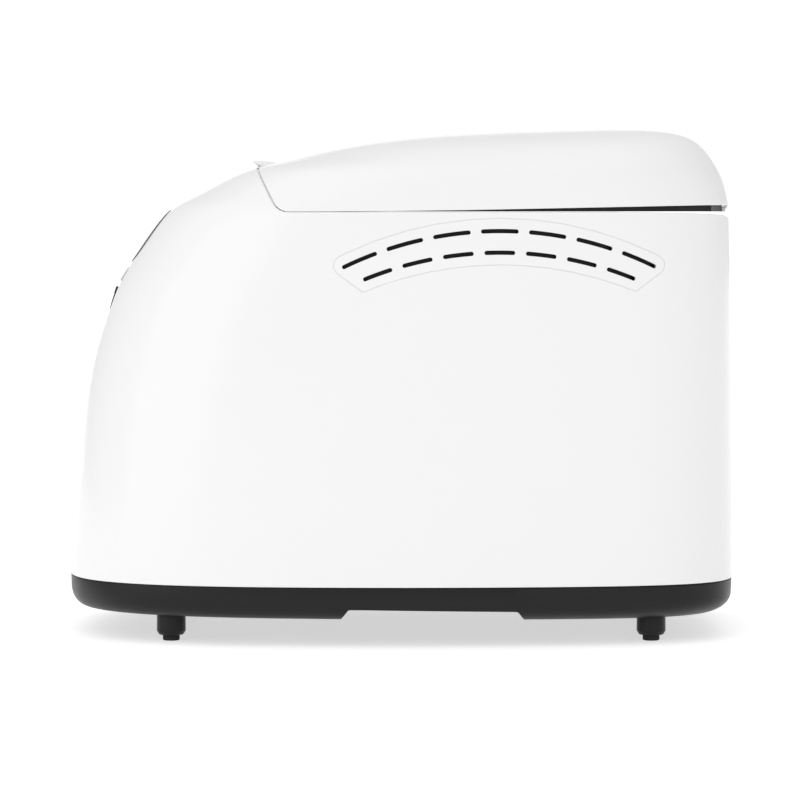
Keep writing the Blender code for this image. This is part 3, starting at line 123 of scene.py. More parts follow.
# ---------------------------------------------------------------- camera, floor and light
def camera():
    """Long lens, level with the lid joint and tipped down a little, square to the right side."""
    data = bpy.data.cameras.new("camera")
    data.sensor_width = 36.0
    data.lens = CAMERA_LENS
    data.clip_end = 60
    obj = bpy.data.objects.new("camera", data)
    obj.location = CAMERA_PLACE
    obj.rotation_euler = (math.radians(90 - CAMERA_TIP), 0, math.radians(90))
    bpy.context.scene.collection.objects.link(obj)
    bpy.context.scene.camera = obj


def sky(strength_of):
    """World whose brightness is a sum of smooth steps of the direction's angles."""
    world = bpy.data.worlds.new("studio")
    bpy.context.scene.world = world
    world.use_nodes = True
    nodes, links = world.node_tree.nodes, world.node_tree.links
    coords = nodes.new("ShaderNodeTexCoord")

    def facing(direction):
        """Cosine of the angle to a direction."""
        node = nodes.new("ShaderNodeVectorMath")
        node.operation = "DOT_PRODUCT"
        node.inputs[1].default_value = Vector(direction).normalized()
        links.new(coords.outputs["Generated"], node.inputs[0])
        return node.outputs["Value"]

    def step(value, start, end, low, high):
        """Smooth step of a value between two angles in degrees from the value's direction."""
        node = nodes.new("ShaderNodeMapRange")
        node.interpolation_type = "SMOOTHSTEP"
        node.inputs["From Min"].default_value = math.cos(math.radians(start))
        node.inputs["From Max"].default_value = math.cos(math.radians(end))
        node.inputs["To Min"].default_value = low
        node.inputs["To Max"].default_value = high
        links.new(value, node.inputs["Value"])
        return node.outputs[0]

    def join(operation, a, b):
        """Add or multiply two values."""
        node = nodes.new("ShaderNodeMath")
        node.operation = operation
        links.new(a, node.inputs[0])
        links.new(b, node.inputs[1])
        return node.outputs[0]

    links.new(strength_of(facing, step, join), nodes["Background"].inputs["Strength"])
    nodes["Background"].inputs["Color"].default_value = (1, 1, 1, 1)


def studio():
    """White surroundings: bright backdrop, grey flags round it, a soft box ahead to the front."""
    def strength(facing, step, join):
        """Sum of the backdrop, its surroundings, the box, both ends and the light from above."""
        behind = facing((-1, 0, 0))
        backdrop = step(behind, 14.0, 8.0, 0.0, SKY_BACKDROP - SKY_FLAG)
        surround = step(behind, 60.0, 100.0, SKY_FLAG, SKY_FILL)
        box = step(facing((0.60, -0.80, 0.25)), 27.0, 23.0, 0.0, SKY_BOX)
        ends = join("ADD", step(facing((0, 1, 0)), 75.0, 35.0, 0.0, SKY_REAR),
                    step(facing((0, -1, 0)), 75.0, 30.0, 0.0, SKY_FRONT))
        above = step(facing((0.12, -0.35, 1)), 55.0, 10.0, 0.0, SKY_TOP)
        return join("ADD", join("ADD", backdrop, surround), join("ADD", box, join("ADD", ends, above)))

    sky(strength)
    mesh = bpy.data.meshes.new("floor")
    corners = [(x * FLOOR_REACH, y * FLOOR_REACH, 0) for x, y in ((-1, -1), (1, -1), (1, 1), (-1, 1))]
    mesh.from_pydata(corners, [], [(0, 1, 2, 3)])
    floor = bpy.data.objects.new("floor", mesh)
    bpy.context.scene.collection.objects.link(floor)
    material = bpy.data.materials.new("pale_floor")
    material.use_nodes = True
    shader = material.node_tree.nodes["Principled BSDF"]
    shader.inputs["Base Color"].default_value = (0.60, 0.60, 0.60, 1)
    shader.inputs["Roughness"].default_value = 0.6
    shader.inputs["Specular IOR Level"].default_value = 0.2
    shader.inputs["Emission Color"].default_value = (1, 1, 1, 1)
    shader.inputs["Emission Strength"].default_value = FLOOR_GLOW
    mesh.materials.append(material)
    bpy.context.scene.view_settings.view_transform = "Standard"


# ---------------------------------------------------------------- materials
def surface(name, colour, roughness, metallic=0.0, specular=0.5, coat=0.0, tint=0.015,
            grain=(700.0, 0.00001), spread=0.05, stretch=(1, 1, 1)):
    """Moulded or metal finish with faint colour change, uneven roughness and a fine grain."""
    material = bpy.data.materials.new(name)
    material.use_nodes = True
    nodes, links = material.node_tree.nodes, material.node_tree.links
    shader = nodes["Principled BSDF"]
    shader.inputs["Metallic"].default_value = metallic
    shader.inputs["Specular IOR Level"].default_value = specular
    shader.inputs["Coat Weight"].default_value = coat
    shader.inputs["Coat Roughness"].default_value = 0.05
    coords = nodes.new("ShaderNodeTexCoord")
    mapping = nodes.new("ShaderNodeMapping")
    mapping.inputs["Scale"].default_value = stretch
    links.new(coords.outputs["Object"], mapping.inputs["Vector"])

    def noise(scale, detail):
        """Fine variation over the surface."""
        node = nodes.new("ShaderNodeTexNoise")
        node.inputs["Scale"].default_value = scale
        node.inputs["Detail"].default_value = detail
        links.new(mapping.outputs[0], node.inputs["Vector"])
        return node.outputs["Fac"]

    mix = nodes.new("ShaderNodeMix")
    mix.data_type = "RGBA"
    mix.inputs["A"].default_value = (*[c * (1 - tint) for c in colour], 1)
    mix.inputs["B"].default_value = (*[min(1.0, c * (1 + tint)) for c in colour], 1)
    links.new(noise(14.0, 3.0), mix.inputs["Factor"])
    links.new(mix.outputs["Result"], shader.inputs["Base Color"])
    rough = nodes.new("ShaderNodeMapRange")
    rough.inputs["From Min"].default_value = 0.3
    rough.inputs["From Max"].default_value = 0.7
    rough.inputs["To Min"].default_value = roughness * (1 - spread)
    rough.inputs["To Max"].default_value = roughness * (1 + spread)
    links.new(noise(60.0, 4.0), rough.inputs["Value"])
    links.new(rough.outputs[0], shader.inputs["Roughness"])
    bump = nodes.new("ShaderNodeBump")
    bump.inputs["Strength"].default_value = 1.0
    bump.inputs["Distance"].default_value = grain[1]
    links.new(noise(grain[0], 2.0), bump.inputs["Height"])
    links.new(bump.outputs[0], shader.inputs["Normal"])
    return material


def finishes():
    """One procedural finish for each material slot."""
    return {
        "white_plastic": surface("white_gloss", (0.80, 0.80, 0.80), 0.17, tint=0.004,
                                 grain=(260.0, 0.000012), spread=0.12),
        "vent_plastic": surface("vent_white", (0.80, 0.80, 0.80), 0.24, tint=0.004,
                                grain=(420.0, 0.00001), spread=0.10),
        "charcoal_plastic": surface("charcoal_satin", (0.006, 0.006, 0.0065), 0.38, specular=0.25,
                                    tint=0.10, grain=(1900.0, 0.00004), spread=0.10),
        "panel_gloss": surface("panel_black", (0.006, 0.006, 0.007), 0.06, tint=0.05,
                               grain=(120.0, 0.000004), spread=0.25),
        "display_glass": surface("display_smoke", (0.10, 0.125, 0.11), 0.12, coat=0.8, tint=0.06,
                                 grain=(300.0, 0.000002), spread=0.10),
        "key_plastic": surface("key_grey", (0.55, 0.56, 0.57), 0.36, tint=0.03,
                               grain=(2600.0, 0.00002), spread=0.12),
        "start_button": surface("start_dark", (0.014, 0.014, 0.015), 0.34, specular=0.25, tint=0.06,
                                grain=(1500.0, 0.00001), spread=0.12),
        "button_trim": surface("trim_dark", (0.010, 0.010, 0.011), 0.34, specular=0.25, tint=0.06,
                               grain=(900.0, 0.000008), spread=0.20),
        "foot_rubber": surface("rubber_black", (0.012, 0.012, 0.012), 0.72, specular=0.3, tint=0.15,
                               grain=(1600.0, 0.00008), spread=0.10),
        "steel_sheet": surface("zinc_steel", (0.60, 0.61, 0.62), 0.34, metallic=1.0, tint=0.10,
                               grain=(300.0, 0.00002), spread=0.30),
        "oven_lining": surface("oven_steel", (0.12, 0.12, 0.124), 0.40, metallic=0.90, tint=0.08,
                               grain=(420.0, 0.00003), spread=0.30, stretch=(1, 1, 0.06)),
        "pan_coating": surface("pan_nonstick", (0.035, 0.035, 0.037), 0.42, specular=0.4, tint=0.20,
                               grain=(2400.0, 0.00003), spread=0.20),
        "steel_wire": surface("bright_steel", (0.70, 0.71, 0.72), 0.22, metallic=1.0, tint=0.05,
                              grain=(900.0, 0.00001), spread=0.30, stretch=(1, 1, 0.2)),
        "heater_sheath": surface("heater_dark", (0.20, 0.18, 0.17), 0.48, metallic=0.8, tint=0.25,
                                 grain=(500.0, 0.00005), spread=0.25),
        "motor_steel": surface("motor_grey", (0.36, 0.37, 0.38), 0.46, metallic=0.6, tint=0.08,
                               grain=(800.0, 0.00003), spread=0.20),
        "pulley_plastic": surface("acetal", (0.72, 0.70, 0.64), 0.42, tint=0.04,
                                  grain=(900.0, 0.00002), spread=0.15),
        "belt_rubber": surface("belt_black", (0.014, 0.014, 0.014), 0.66, tint=0.20,
                               grain=(1500.0, 0.00006), spread=0.10),
        "board_green": surface("board_green", (0.02, 0.15, 0.06), 0.38, tint=0.20,
                               grain=(600.0, 0.00003), spread=0.20),
        "component_black": surface("component_black", (0.018, 0.018, 0.019), 0.42, tint=0.12,
                                   grain=(1600.0, 0.00003), spread=0.15),
        "seal_rubber": surface("seal_silicone", (0.16, 0.05, 0.035), 0.60, tint=0.12,
                               grain=(1300.0, 0.00004), spread=0.10),
    }


# ---------------------------------------------------------------- the outer form as a surface
TABLE = np.array(FORM_STATIONS) * 0.001
LAST = len(TABLE) - 1


def spline_bend(values):
    """Second differences of the natural cubic spline through rows at 0, 1, 2..."""
    n = len(values)
    system, right = np.eye(n), np.zeros_like(values)
    for i in range(1, n - 1):
        system[i, i - 1:i + 2] = (1, 4, 1)
        right[i] = 6 * (values[i + 1] - 2 * values[i] + values[i - 1])
    return np.linalg.solve(system, right)


BEND = spline_bend(TABLE)


def plan_curve():
    """Arc length share, half width share and depth share along half of the plan outline."""
    u = -np.cos(np.linspace(0, math.pi, 24001))
    front = np.clip(1 - np.abs(u) ** PLAN_FRONT[0], 0, 1) ** (1 / PLAN_FRONT[1])
    rear = np.clip(1 - np.abs(u) ** PLAN_REAR[0], 0, 1) ** (1 / PLAN_REAR[1])
    share = (1 - PLAN_TAPER * u * u) * np.where(u < 0, front, rear)
    run = np.hypot(np.diff(share) * HALF_WIDTH, np.diff(u) * HALF_DEPTH)
    length = np.concatenate(([0], np.cumsum(run)))
    return length / length[-1], share, u


PLAN_LENGTH, PLAN_SHARE, PLAN_DEPTH = plan_curve()


def form_point(v, s):
    """Point of the form: v counts stations upwards, s runs round from the front middle, -1 to 1."""
    v, s = np.broadcast_arrays(np.asarray(v, float), np.asarray(s, float))
    i = np.clip(np.floor(v).astype(int), 0, LAST - 1)
    a, b = (i + 1 - v)[..., None], (v - i)[..., None]
    row = (BEND[i] * (a ** 3 - a) + BEND[i + 1] * (b ** 3 - b)) / 6 + TABLE[i] * a + TABLE[i + 1] * b
    around = (s + 1) % 2 - 1
    share = np.interp(np.abs(around), PLAN_LENGTH, PLAN_SHARE) * np.sign(around)
    depth = np.interp(np.abs(around), PLAN_LENGTH, PLAN_DEPTH)
    y = (row[..., 0] + row[..., 2]) / 2 + (row[..., 2] - row[..., 0]) / 2 * depth
    z = (row[..., 1] + row[..., 3]) / 2 + (row[..., 3] - row[..., 1]) / 2 * depth
    return np.stack((row[..., 4] * share, y, z), axis=-1)


def form_normal(v, s):
    """Outward unit normal of the form."""
    v = np.clip(v, 0.01, LAST - 0.02)
    up = form_point(v + 0.01, s) - form_point(v - 0.01, s)
    round_ = form_point(v, s + 0.002) - form_point(v, s - 0.002)
    normal = np.cross(round_, up)
    return normal / np.linalg.norm(normal, axis=-1, keepdims=True)


def climb_table():
    """Arc length climbed at each v, averaged over the front, the side and the rear."""
    v = np.linspace(0, LAST, 1501)
    total = np.zeros(len(v))
    for s in (0.0, 0.5, 1.0):
        steps = np.linalg.norm(np.diff(form_point(v, s), axis=0), axis=1)
        total[1:] += np.cumsum(steps) / 3
    return v, total


CLIMB_V, CLIMB = climb_table()


def rows_between(start, end, rows):
    """v values for each row and column, evenly spaced along the climb."""
    low, high = np.interp(start, CLIMB_V, CLIMB), np.interp(end, CLIMB_V, CLIMB)
    share = np.linspace(0, 1, rows + 1)[:, None]
    return np.interp(low + (high - low) * share, CLIMB, CLIMB_V)


def edge_height(edge, y):
    """Height of a seam edge at y."""
    ys, zs = zip(*edge)
    return np.interp(y, ys, zs)


def seam_side(points, edge, shift, notch=False):
    """Signed distance into the lid's side of the seam; shift moves the whole seam into the lid."""
    slope = np.array(SEAM_HEEL) - np.array(SEAM_TOP)
    slope = slope / np.linalg.norm(slope)
    back = np.array((-slope[1], slope[0]))
    behind = (points[..., 1:] - np.array(SEAM_HEEL)) @ back - shift
    base = edge_height(edge, points[..., 1])
    if notch:
        near = (np.abs(np.abs(points[..., 0]) - HINGE_X) < NOTCH_HALF) & (points[..., 1] > 0.15)
        base = np.where(near, HINGE_Z + NOTCH_TOP, base)
    above = points[..., 2] - base
    bend = SEAM_BEND
    corner = bend - np.hypot(np.maximum(bend - behind, 0), np.maximum(bend - above, 0))
    return np.where((behind < bend) & (above < bend), corner, np.minimum(behind, above))


def seam_position(columns, edge, offset, shift, notch=False):
    """v at which each column crosses the seam, kept an offset away from it."""
    low, high = np.full(len(columns), 5.5), np.full(len(columns), 13.0)
    for _ in range(50):
        middle = (low + high) / 2
        side = seam_side(form_point(middle, columns), edge, shift, notch) - offset
        low, high = np.where(side < 0, middle, low), np.where(side < 0, high, middle)
    return (low + high) / 2


# ---------------------------------------------------------------- skin meshes with exact normals
class Skin:
    """A bmesh whose vertices carry the normal that they are shaded with."""

    def __init__(self):
        self.bm = bmesh.new()
        self.layer = self.bm.verts.layers.float_vector.new("shade_normal")

    def vert(self, point, normal):
        """Add a vertex with its shading normal."""
        made = self.bm.verts.new(point)
        made[self.layer] = normal
        return made

    def grid(self, points, normals):
        """Skin a stack of closed rows; returns the rows of vertices."""
        rows = [[self.vert(p, n) for p, n in zip(ps, ns)] for ps, ns in zip(points, normals)]
        for low, high in zip(rows, rows[1:]):
            self.strip(low, high)
        return rows

    def strip(self, low, high):
        """Join two closed rings of equal length with quads."""
        for i in range(len(low)):
            j = (i + 1) % len(low)
            self.bm.faces.new((low[i], low[j], high[j], high[i]))

    def roll(self, ring, radius, depth, steps=4):
        """Round an open edge over and carry it inwards as a wall; returns the wall's last ring."""
        points = np.array([v.co for v in ring])
        normals = np.array([v[self.layer] for v in ring])
        along = np.roll(points, -1, axis=0) - np.roll(points, 1, axis=0)
        out = np.cross(along, normals)
        out /= np.maximum(np.linalg.norm(out, axis=1, keepdims=True), 1e-12)
        probe = ring[0]
        centre = sum((f.calc_center_median() for f in probe.link_faces), Vector()) / len(probe.link_faces)
        if Vector(out[0]).dot(probe.co - centre) < 0:
            out = -out
        last = ring
        for k in range(1, steps + 1):
            a = math.pi / 2 * k / steps
            moved = points + out * radius * math.sin(a) - normals * radius * (1 - math.cos(a))
            shade = normals * math.cos(a) + out * math.sin(a)
            fresh = [self.vert(p, n) for p, n in zip(moved, shade)]
            self.strip(last, fresh)
            last = fresh
        wall = points + out * radius - normals * depth
        fresh = [self.vert(p, n) for p, n in zip(wall, out)]
        self.strip(last, fresh)
        return fresh

    def finish(self, name):
        """Turn the skin into an object shaded with its own normals."""
        bm = self.bm
        bmesh.ops.recalc_face_normals(bm, faces=bm.faces)
        votes = sum(f.normal.dot(Vector(f.verts[0][self.layer])) * f.calc_area() for f in bm.faces)
        if votes < 0:
            bmesh.ops.reverse_faces(bm, faces=bm.faces)
        for face in bm.faces:
            face.smooth = True
        mesh = bpy.data.meshes.new(name)
        normals = [tuple(v[self.layer]) for v in bm.verts]
        bm.to_mesh(mesh)
        bm.free()
        mesh.attributes.remove(mesh.attributes["shade_normal"])
        mesh.normals_split_custom_set_from_vertices(normals)
        made = bpy.data.objects.new(name, mesh)
        bpy.context.scene.collection.objects.link(made)
        return made


def columns_of(extra=()):
    """Column positions round the form, with extra ones where an edge needs them."""
    even = np.arange(-HALF_COLUMNS, HALF_COLUMNS) / HALF_COLUMNS
    return np.unique(np.round(np.concatenate((even, extra)), 9))


def reference_skin():
    """Dense form used to drop flat outlines onto the surface: returns lifting functions."""
    columns = columns_of()
    v = rows_between(np.zeros(len(columns)), np.full(len(columns), LAST - 0.05), 150)
    points, normals = form_point(v, columns[None, :]), form_normal(v, columns[None, :])
    count = len(columns)
    verts = [Vector(p) for p in points.reshape(-1, 3)]
    shades = normals.reshape(-1, 3)
    faces = []
    for r in range(v.shape[0] - 1):
        for c in range(count):
            d = (c + 1) % count
            faces.append((r * count + c, r * count + d, (r + 1) * count + d, (r + 1) * count + c))
    tree = BVHTree.FromPolygons(verts, faces)

    def drop(origin, direction):
        hit, _, index, _ = tree.ray_cast(Vector(origin), Vector(direction))
        if hit is None:
            hit, _, index, _ = tree.find_nearest(Vector(origin))
        corners = faces[index]
        weights = [1 / ((hit - verts[k]).length + 1e-7) ** 2 for k in corners]
        shade = sum((Vector(shades[k]) * w for k, w in zip(corners, weights)), Vector()).normalized()
        return hit, shade

    return drop


def inside(point, polygon):
    """Even-odd test of a 2D point against a polygon."""
    x, y = point
    hit = False
    for (x1, y1), (x2, y2) in zip(polygon, polygon[1:] + polygon[:1]):
        if (y1 > y) != (y2 > y) and x < (x2 - x1) * (y - y1) / (y2 - y1) + x1:
            hit = not hit
    return hit


def dense(outline, step):
    """Split an outline's long edges."""
    points = []
    for a, b in zip(outline, outline[1:] + outline[:1]):
        parts = max(1, int(math.dist(a, b) / step))
        points += [(a[0] + (b[0] - a[0]) * k / parts, a[1] + (b[1] - a[1]) * k / parts)
                   for k in range(parts)]
    return points


def triangulate(outer, holes, loose):
    """Constrained triangles between an outer loop and holes; returns points and triangles."""
    points, edges = [], []
    for loop in [outer] + holes:
        first = len(points)
        points += loop
        edges += [(first + k, first + (k + 1) % len(loop)) for k in range(len(loop))]
    points += loose
    flat = [Vector(p) for p in points]
    made, _, faces, origins, _, _ = delaunay_2d_cdt(flat, edges, [], 0, 1e-7)
    kept = []
    for face in faces:
        centre = sum((made[k] for k in face), Vector((0, 0))) / len(face)
        if inside(centre, outer) and not any(inside(centre, hole) for hole in holes):
            kept.append([origins[k][0] for k in face])
    return points, kept


def near_any(point, loops, distance):
    """True where a point is close to any point of the loops."""
    return any(math.dist(point, q) < distance for loop in loops for q in loop)


def side_plane(side, drop):
    """Flat (y, z) view of one side: how to flatten a point and how to lift it back."""
    def flatten(co):
        return (co[1], co[2])

    def lift(p):
        return drop((side * 0.2, p[0], p[1]), (-side, 0, 0))

    return flatten, lift


def tilted_plane(centre, normal, drop):
    """Flat view square to a normal on the front."""
    up = Vector(normal).cross(Vector((1, 0, 0))).normalized()

    def flatten(co):
        return (co[0], (Vector(co) - centre).dot(up))

    def lift(p):
        return drop(centre + Vector((1, 0, 0)) * p[0] + up * p[1] + normal * 0.03, -normal)

    return flatten, lift


def patch(plane, outer, holes, step, proud=0.0):
    """New skin over a flat outline with holes; returns the skin, its edge ring and hole rings."""
    _, lift = plane
    skin = Skin()
    xs, ys = [p[0] for p in outer], [p[1] for p in outer]
    loose = [(x, y) for x in np.arange(min(xs), max(xs), step) for y in np.arange(min(ys), max(ys), step)]
    loose = [p for p in loose if inside(p, outer) and not any(inside(p, h) for h in holes)
             and not near_any(p, [outer] + holes, step * 0.6)]
    points, faces = triangulate(outer, holes, loose)
    verts = []
    for p in points:
        hit, shade = lift(p)
        verts.append(skin.vert(hit + shade * proud, shade))
    for face in faces:
        skin.bm.faces.new([verts[k] for k in face])
    rings, first = [], 0
    for loop in [outer] + holes:
        rings.append(verts[first:first + len(loop)])
        first += len(loop)
    return skin, rings[0], rings[1:]


def open_in(skin, plane, chosen, hole):
    """Replace the chosen faces of a skin by triangles round a hole; returns the hole's ring."""
    flatten, lift = plane
    bm = skin.bm
    gone = [f for f in bm.faces if all(chosen(v.co) for v in f.verts)]
    marked = set(gone)
    border = [e for f in gone for e in f.edges if sum(g in marked for g in e.link_faces) == 1]
    follow = {}
    for edge in set(border):
        a, b = edge.verts
        follow.setdefault(a, []).append(b)
        follow.setdefault(b, []).append(a)
    start = next(iter(follow))
    loop, last, here = [start], None, start
    while True:
        step = [v for v in follow[here] if v is not last][0]
        if step is start:
            break
        loop.append(step)
        last, here = here, step
    rim = set(loop)
    spare = {v for f in gone for v in f.verts} - rim
    outer = [flatten(v.co) for v in loop]
    loose = [flatten(v.co) for v in spare]
    loose = [p for p in loose if not inside(p, hole) and not near_any(p, [hole], 0.0012)]
    points, faces = triangulate(outer, [hole], loose)
    bmesh.ops.delete(bm, geom=gone, context="FACES")
    verts = list(loop)
    for p in points[len(loop):]:
        hit, shade = lift(p)
        verts.append(skin.vert(hit, shade))
    for face in faces:
        bm.faces.new([verts[k] for k in face])
    return verts[len(loop):len(loop) + len(hole)]


# ---------------------------------------------------------------- outlines
def filleted(corners, radius, steps=4):
    """Round each corner of a closed polygon with an arc; radius may be a list, one for each corner."""
    points = []
    radii = radius if isinstance(radius, list) else [radius] * len(corners)
    for i, (corner, radius) in enumerate(zip(corners, radii)):
        here = Vector(corner)
        back = (Vector(corners[i - 1]) - here).normalized()
        ahead = (Vector(corners[(i + 1) % len(corners)]) - here).normalized()
        half = back.angle(ahead) / 2
        if radius == 0 or half > math.radians(88):
            points.append(tuple(here))
            continue
        centre = here + (back + ahead).normalized() * (radius / math.sin(half))
        start, end = here + back * (radius / math.tan(half)), here + ahead * (radius / math.tan(half))
        total = math.pi - 2 * half
        for k in range(steps + 1):
            t = k / steps
            a, b = math.sin((1 - t) * total), math.sin(t * total)
            points.append(tuple(centre + ((start - centre) * a + (end - centre) * b) / math.sin(total)))
    return points


def rounded_rectangle(width, depth, radius, steps=6):
    """Rectangle about the origin with rounded corners."""
    w, d = width / 2, depth / 2
    return filleted([(-w, -d), (w, -d), (w, d), (-w, d)], radius, steps)


def circle(radius, segments, centre=(0.0, 0.0)):
    """Evenly spaced points round a centre."""
    turns = [2 * math.pi * k / segments for k in range(segments)]
    return [(centre[0] + radius * math.cos(a), centre[1] + radius * math.sin(a)) for a in turns]


def vent_band(margin):
    """Outline of the vent band seen from the side, grown by a margin."""
    def arc(apex, degrees, clear):
        """The arc's middle stretch between its two end corners."""
        angles = [degrees] + [clear - 2 * clear * k / 10 for k in range(11)] + [-degrees]
        return [(VENT_Y + VENT_RADIUS * math.sin(math.radians(a)), apex + VENT_RADIUS
                 * (math.cos(math.radians(a)) - 1 + VENT_TILT * math.sin(math.radians(a)))) for a in angles]

    top = arc(BAND_TOP, BAND_TIP_ANGLE, BAND_TIP_ANGLE - 3.5)
    low = arc(BAND_BOTTOM, BAND_FOOT_ANGLE, BAND_FOOT_ANGLE - 3.0)[::-1]
    radii = [0.0] * len(top) + [0.0] * len(low)
    radii[0] = radii[len(top) - 1] = BAND_TIP_RADIUS
    radii[len(top)] = radii[-1] = BAND_FOOT_RADIUS
    return grown(filleted(top + low, radii, 6), margin)


def grown(outline, margin):
    """Move every point of a closed outline outwards by a margin."""
    area = sum(a[0] * b[1] - b[0] * a[1] for a, b in zip(outline, outline[1:] + outline[:1]))
    turn = 1 if area > 0 else -1
    moved = []
    for i, here in enumerate(outline):
        before, after = Vector(outline[i - 1]), Vector(outline[(i + 1) % len(outline)])
        along = (after - before).normalized()
        side = Vector((along.y, -along.x))
        moved.append(tuple(Vector(here) + side * margin * turn))
    return moved


def vent_slots():
    """Outlines of the slots, bent along the arc of their row."""
    for apex, step, length in VENT_ROWS:
        for k in range(SLOTS_PER_ROW):
            angle = math.radians(step * (k - (SLOTS_PER_ROW - 1) / 2))
            y = VENT_Y + VENT_RADIUS * math.sin(angle)
            z = apex - VENT_RADIUS * (1 - math.cos(angle) - VENT_TILT * math.sin(angle))
            wide, long = SLOT_WIDTH + ROLL, length + ROLL
            bar = dense(rounded_rectangle(long, wide, wide * 0.48, 4), 0.002)
            bent = [(a, b - a * a / (2 * VENT_RADIUS)) for a, b in bar]
            yield [(y + a * math.cos(angle) + b * math.sin(angle),
                    z - a * math.sin(angle) + b * math.cos(angle)) for a, b in bent]


# ---------------------------------------------------------------- finishing a piece
LOOKS = finishes()
SLOT_OF = {item["node"]: item["material_slot"] for item in frame["record"]["subparts"]}


def settle(piece, body, slot, *nodes):
    """Give a piece its finish and its body, and hide the CAD nodes that it stands for."""
    piece.data.materials.clear()
    piece.data.materials.append(LOOKS[slot])
    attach(piece, body)
    if nodes:
        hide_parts(*nodes)
    return piece


def smooth_object(name, bm, angle=35.0):
    """Link a bmesh as an object, smooth but for its sharp edges."""
    bmesh.ops.recalc_face_normals(bm, faces=bm.faces)
    mesh = bpy.data.meshes.new(name)
    bm.to_mesh(mesh)
    bm.free()
    mesh.shade_smooth()
    mesh.set_sharp_from_angle(angle=math.radians(angle))
    made = bpy.data.objects.new(name, mesh)
    bpy.context.scene.collection.objects.link(made)
    return made


def loft(name, rings, closed_loop=False, angle=35.0):
    """Skin a list of rings of points."""
    bm = bmesh.new()
    rows = [[bm.verts.new(p) for p in ring] for ring in rings]
    pairs = list(zip(rows, rows[1:])) + ([(rows[-1], rows[0])] if closed_loop else [])
    for low, high in pairs:
        for i in range(len(low)):
            j = (i + 1) % len(low)
            bm.faces.new((low[i], low[j], high[j], high[i]))
    if not closed_loop:
        bm.faces.new(rows[0][::-1])
        bm.faces.new(rows[-1])
    return smooth_object(name, bm, angle)


def turned(name, profile, segments=64, place=(0, 0, 0), direction=(0, 0, 1), fillet=0.0004):
    """Turn a rounded (radius, z) profile about an axis; a profile starting at radius 0 is solid."""
    solid = profile[0][0] == 0
    corners = [p for p in profile if p[0] > 0]
    if solid:
        corners = [(0, corners[0][1])] + corners + [(0, corners[-1][1])]
    points = [p for p in filleted(corners, fillet, 4) if p[0] > fillet * 1.5]
    rings = [[(x, y, z) for x, y in circle(r, segments)] for r, z in points]
    made = loft(name, rings, closed_loop=not solid, angle=50.0)
    turn = Vector((0, 0, 1)).rotation_difference(Vector(direction)).to_matrix().to_4x4()
    made.data.transform(Matrix.Translation(Vector(place)) @ turn)
    return made


def cut(target, cutters):
    """Cut a closed solid with helper solids, then remove the helpers."""
    for cutter in cutters:
        modifier = target.modifiers.new("cut", "BOOLEAN")
        modifier.operation = "DIFFERENCE"
        modifier.solver = "EXACT"
        modifier.object = cutter
    graph = bpy.context.evaluated_depsgraph_get()
    mesh = bpy.data.meshes.new_from_object(target.evaluated_get(graph))
    target.modifiers.clear()
    target.data = mesh
    mesh.shade_smooth()
    mesh.set_sharp_from_angle(angle=math.radians(30))
    for cutter in cutters:
        bpy.data.objects.remove(cutter, do_unlink=True)


# ---------------------------------------------------------------- shell
def housing(drop, start_place):
    """White shell with rolled edges, vent openings, a hole for the start button and its deck."""
    columns = columns_of()
    top = seam_position(columns, DECK_EDGE, -ROLL, 0.0)
    foot = np.interp(SHELL_BOTTOM + ROLL, form_point(np.linspace(0, 1, 50), 0.5)[:, 2],
                     np.linspace(0, 1, 50))
    v = rows_between(np.full(len(columns), foot), top, ROWS)
    skin = Skin()
    rows = skin.grid(form_point(v, columns[None, :]), form_normal(v, columns[None, :]))
    for side in (-1, 1):
        plane = side_plane(side, drop)

        def beside(co):
            return co.x * side > 0.06 and -0.048 < co.y < 0.148 and 0.170 < co.z < 0.2262

        ring = open_in(skin, plane, beside, dense(vent_band(GAP + BAND_ROLL), 0.002))
        skin.roll(ring, BAND_ROLL, LIP_DEPTH)
    plane = tilted_plane(start_place, START_NORMAL, drop)

    def around_start(co):
        return abs(co.x) < 0.016 and abs((co - start_place).length) < 0.018

    ring = open_in(skin, plane, around_start, circle(TRIM_OUTER + 0.0002 + HOLE_ROLL, 48))
    skin.roll(ring, HOLE_ROLL, LIP_DEPTH)
    plane = tilted_plane(PANEL_CENTRE, PANEL_NORMAL, drop)
    for middle in KEY_PLACES:

        def around_key(co):
            x, y = plane[0](co)
            return co.y < 0 and abs(x - middle[0]) < 0.0080 and abs(y - middle[1]) < 0.0085

        ring = open_in(skin, plane, around_key, circle(KEY_RADIUS + GAP + HOLE_ROLL, 36, middle))
        skin.roll(ring, HOLE_ROLL, LIP_DEPTH)
    hidden = [f for f in skin.bm.faces if under_panel(f.calc_center_median())]
    bmesh.ops.delete(skin.bm, geom=hidden, context="FACES")
    skin.roll(rows[0], ROLL, LIP_DEPTH)
    deck_ring = skin.roll(rows[-1], ROLL, 0.0012)
    edge = [v.co.copy() for v in deck_ring]
    shell = settle(skin.finish("housing_shell"), "cabinet", "white_plastic", "outer_housing")
    settle(deck(edge), "cabinet", "white_plastic")
    settle(slope_wall("hump_wall", edge, 0.2266), "cabinet", "white_plastic")
    return shell


def under_panel(co):
    """True for points of the shell that the control panel covers."""
    up = PANEL_NORMAL.cross(Vector((1, 0, 0))).normalized()
    return (abs(co.x) < PANEL_HALF_WIDTH - 0.014 and co.y < 0
            and PANEL_LOW + 0.004 < (co - PANEL_CENTRE).dot(up) < PANEL_HIGH - 0.004)


def on_slope(point, tolerance=0.0022):
    """Signed test: is a point close to the sloping front plane of the seam?"""
    slope = (Vector(SEAM_HEEL) - Vector(SEAM_TOP)).normalized()
    back = Vector((-slope.y, slope.x))
    return abs((Vector((point.y, point.z)) - Vector(SEAM_HEEL)).dot(back)) < tolerance


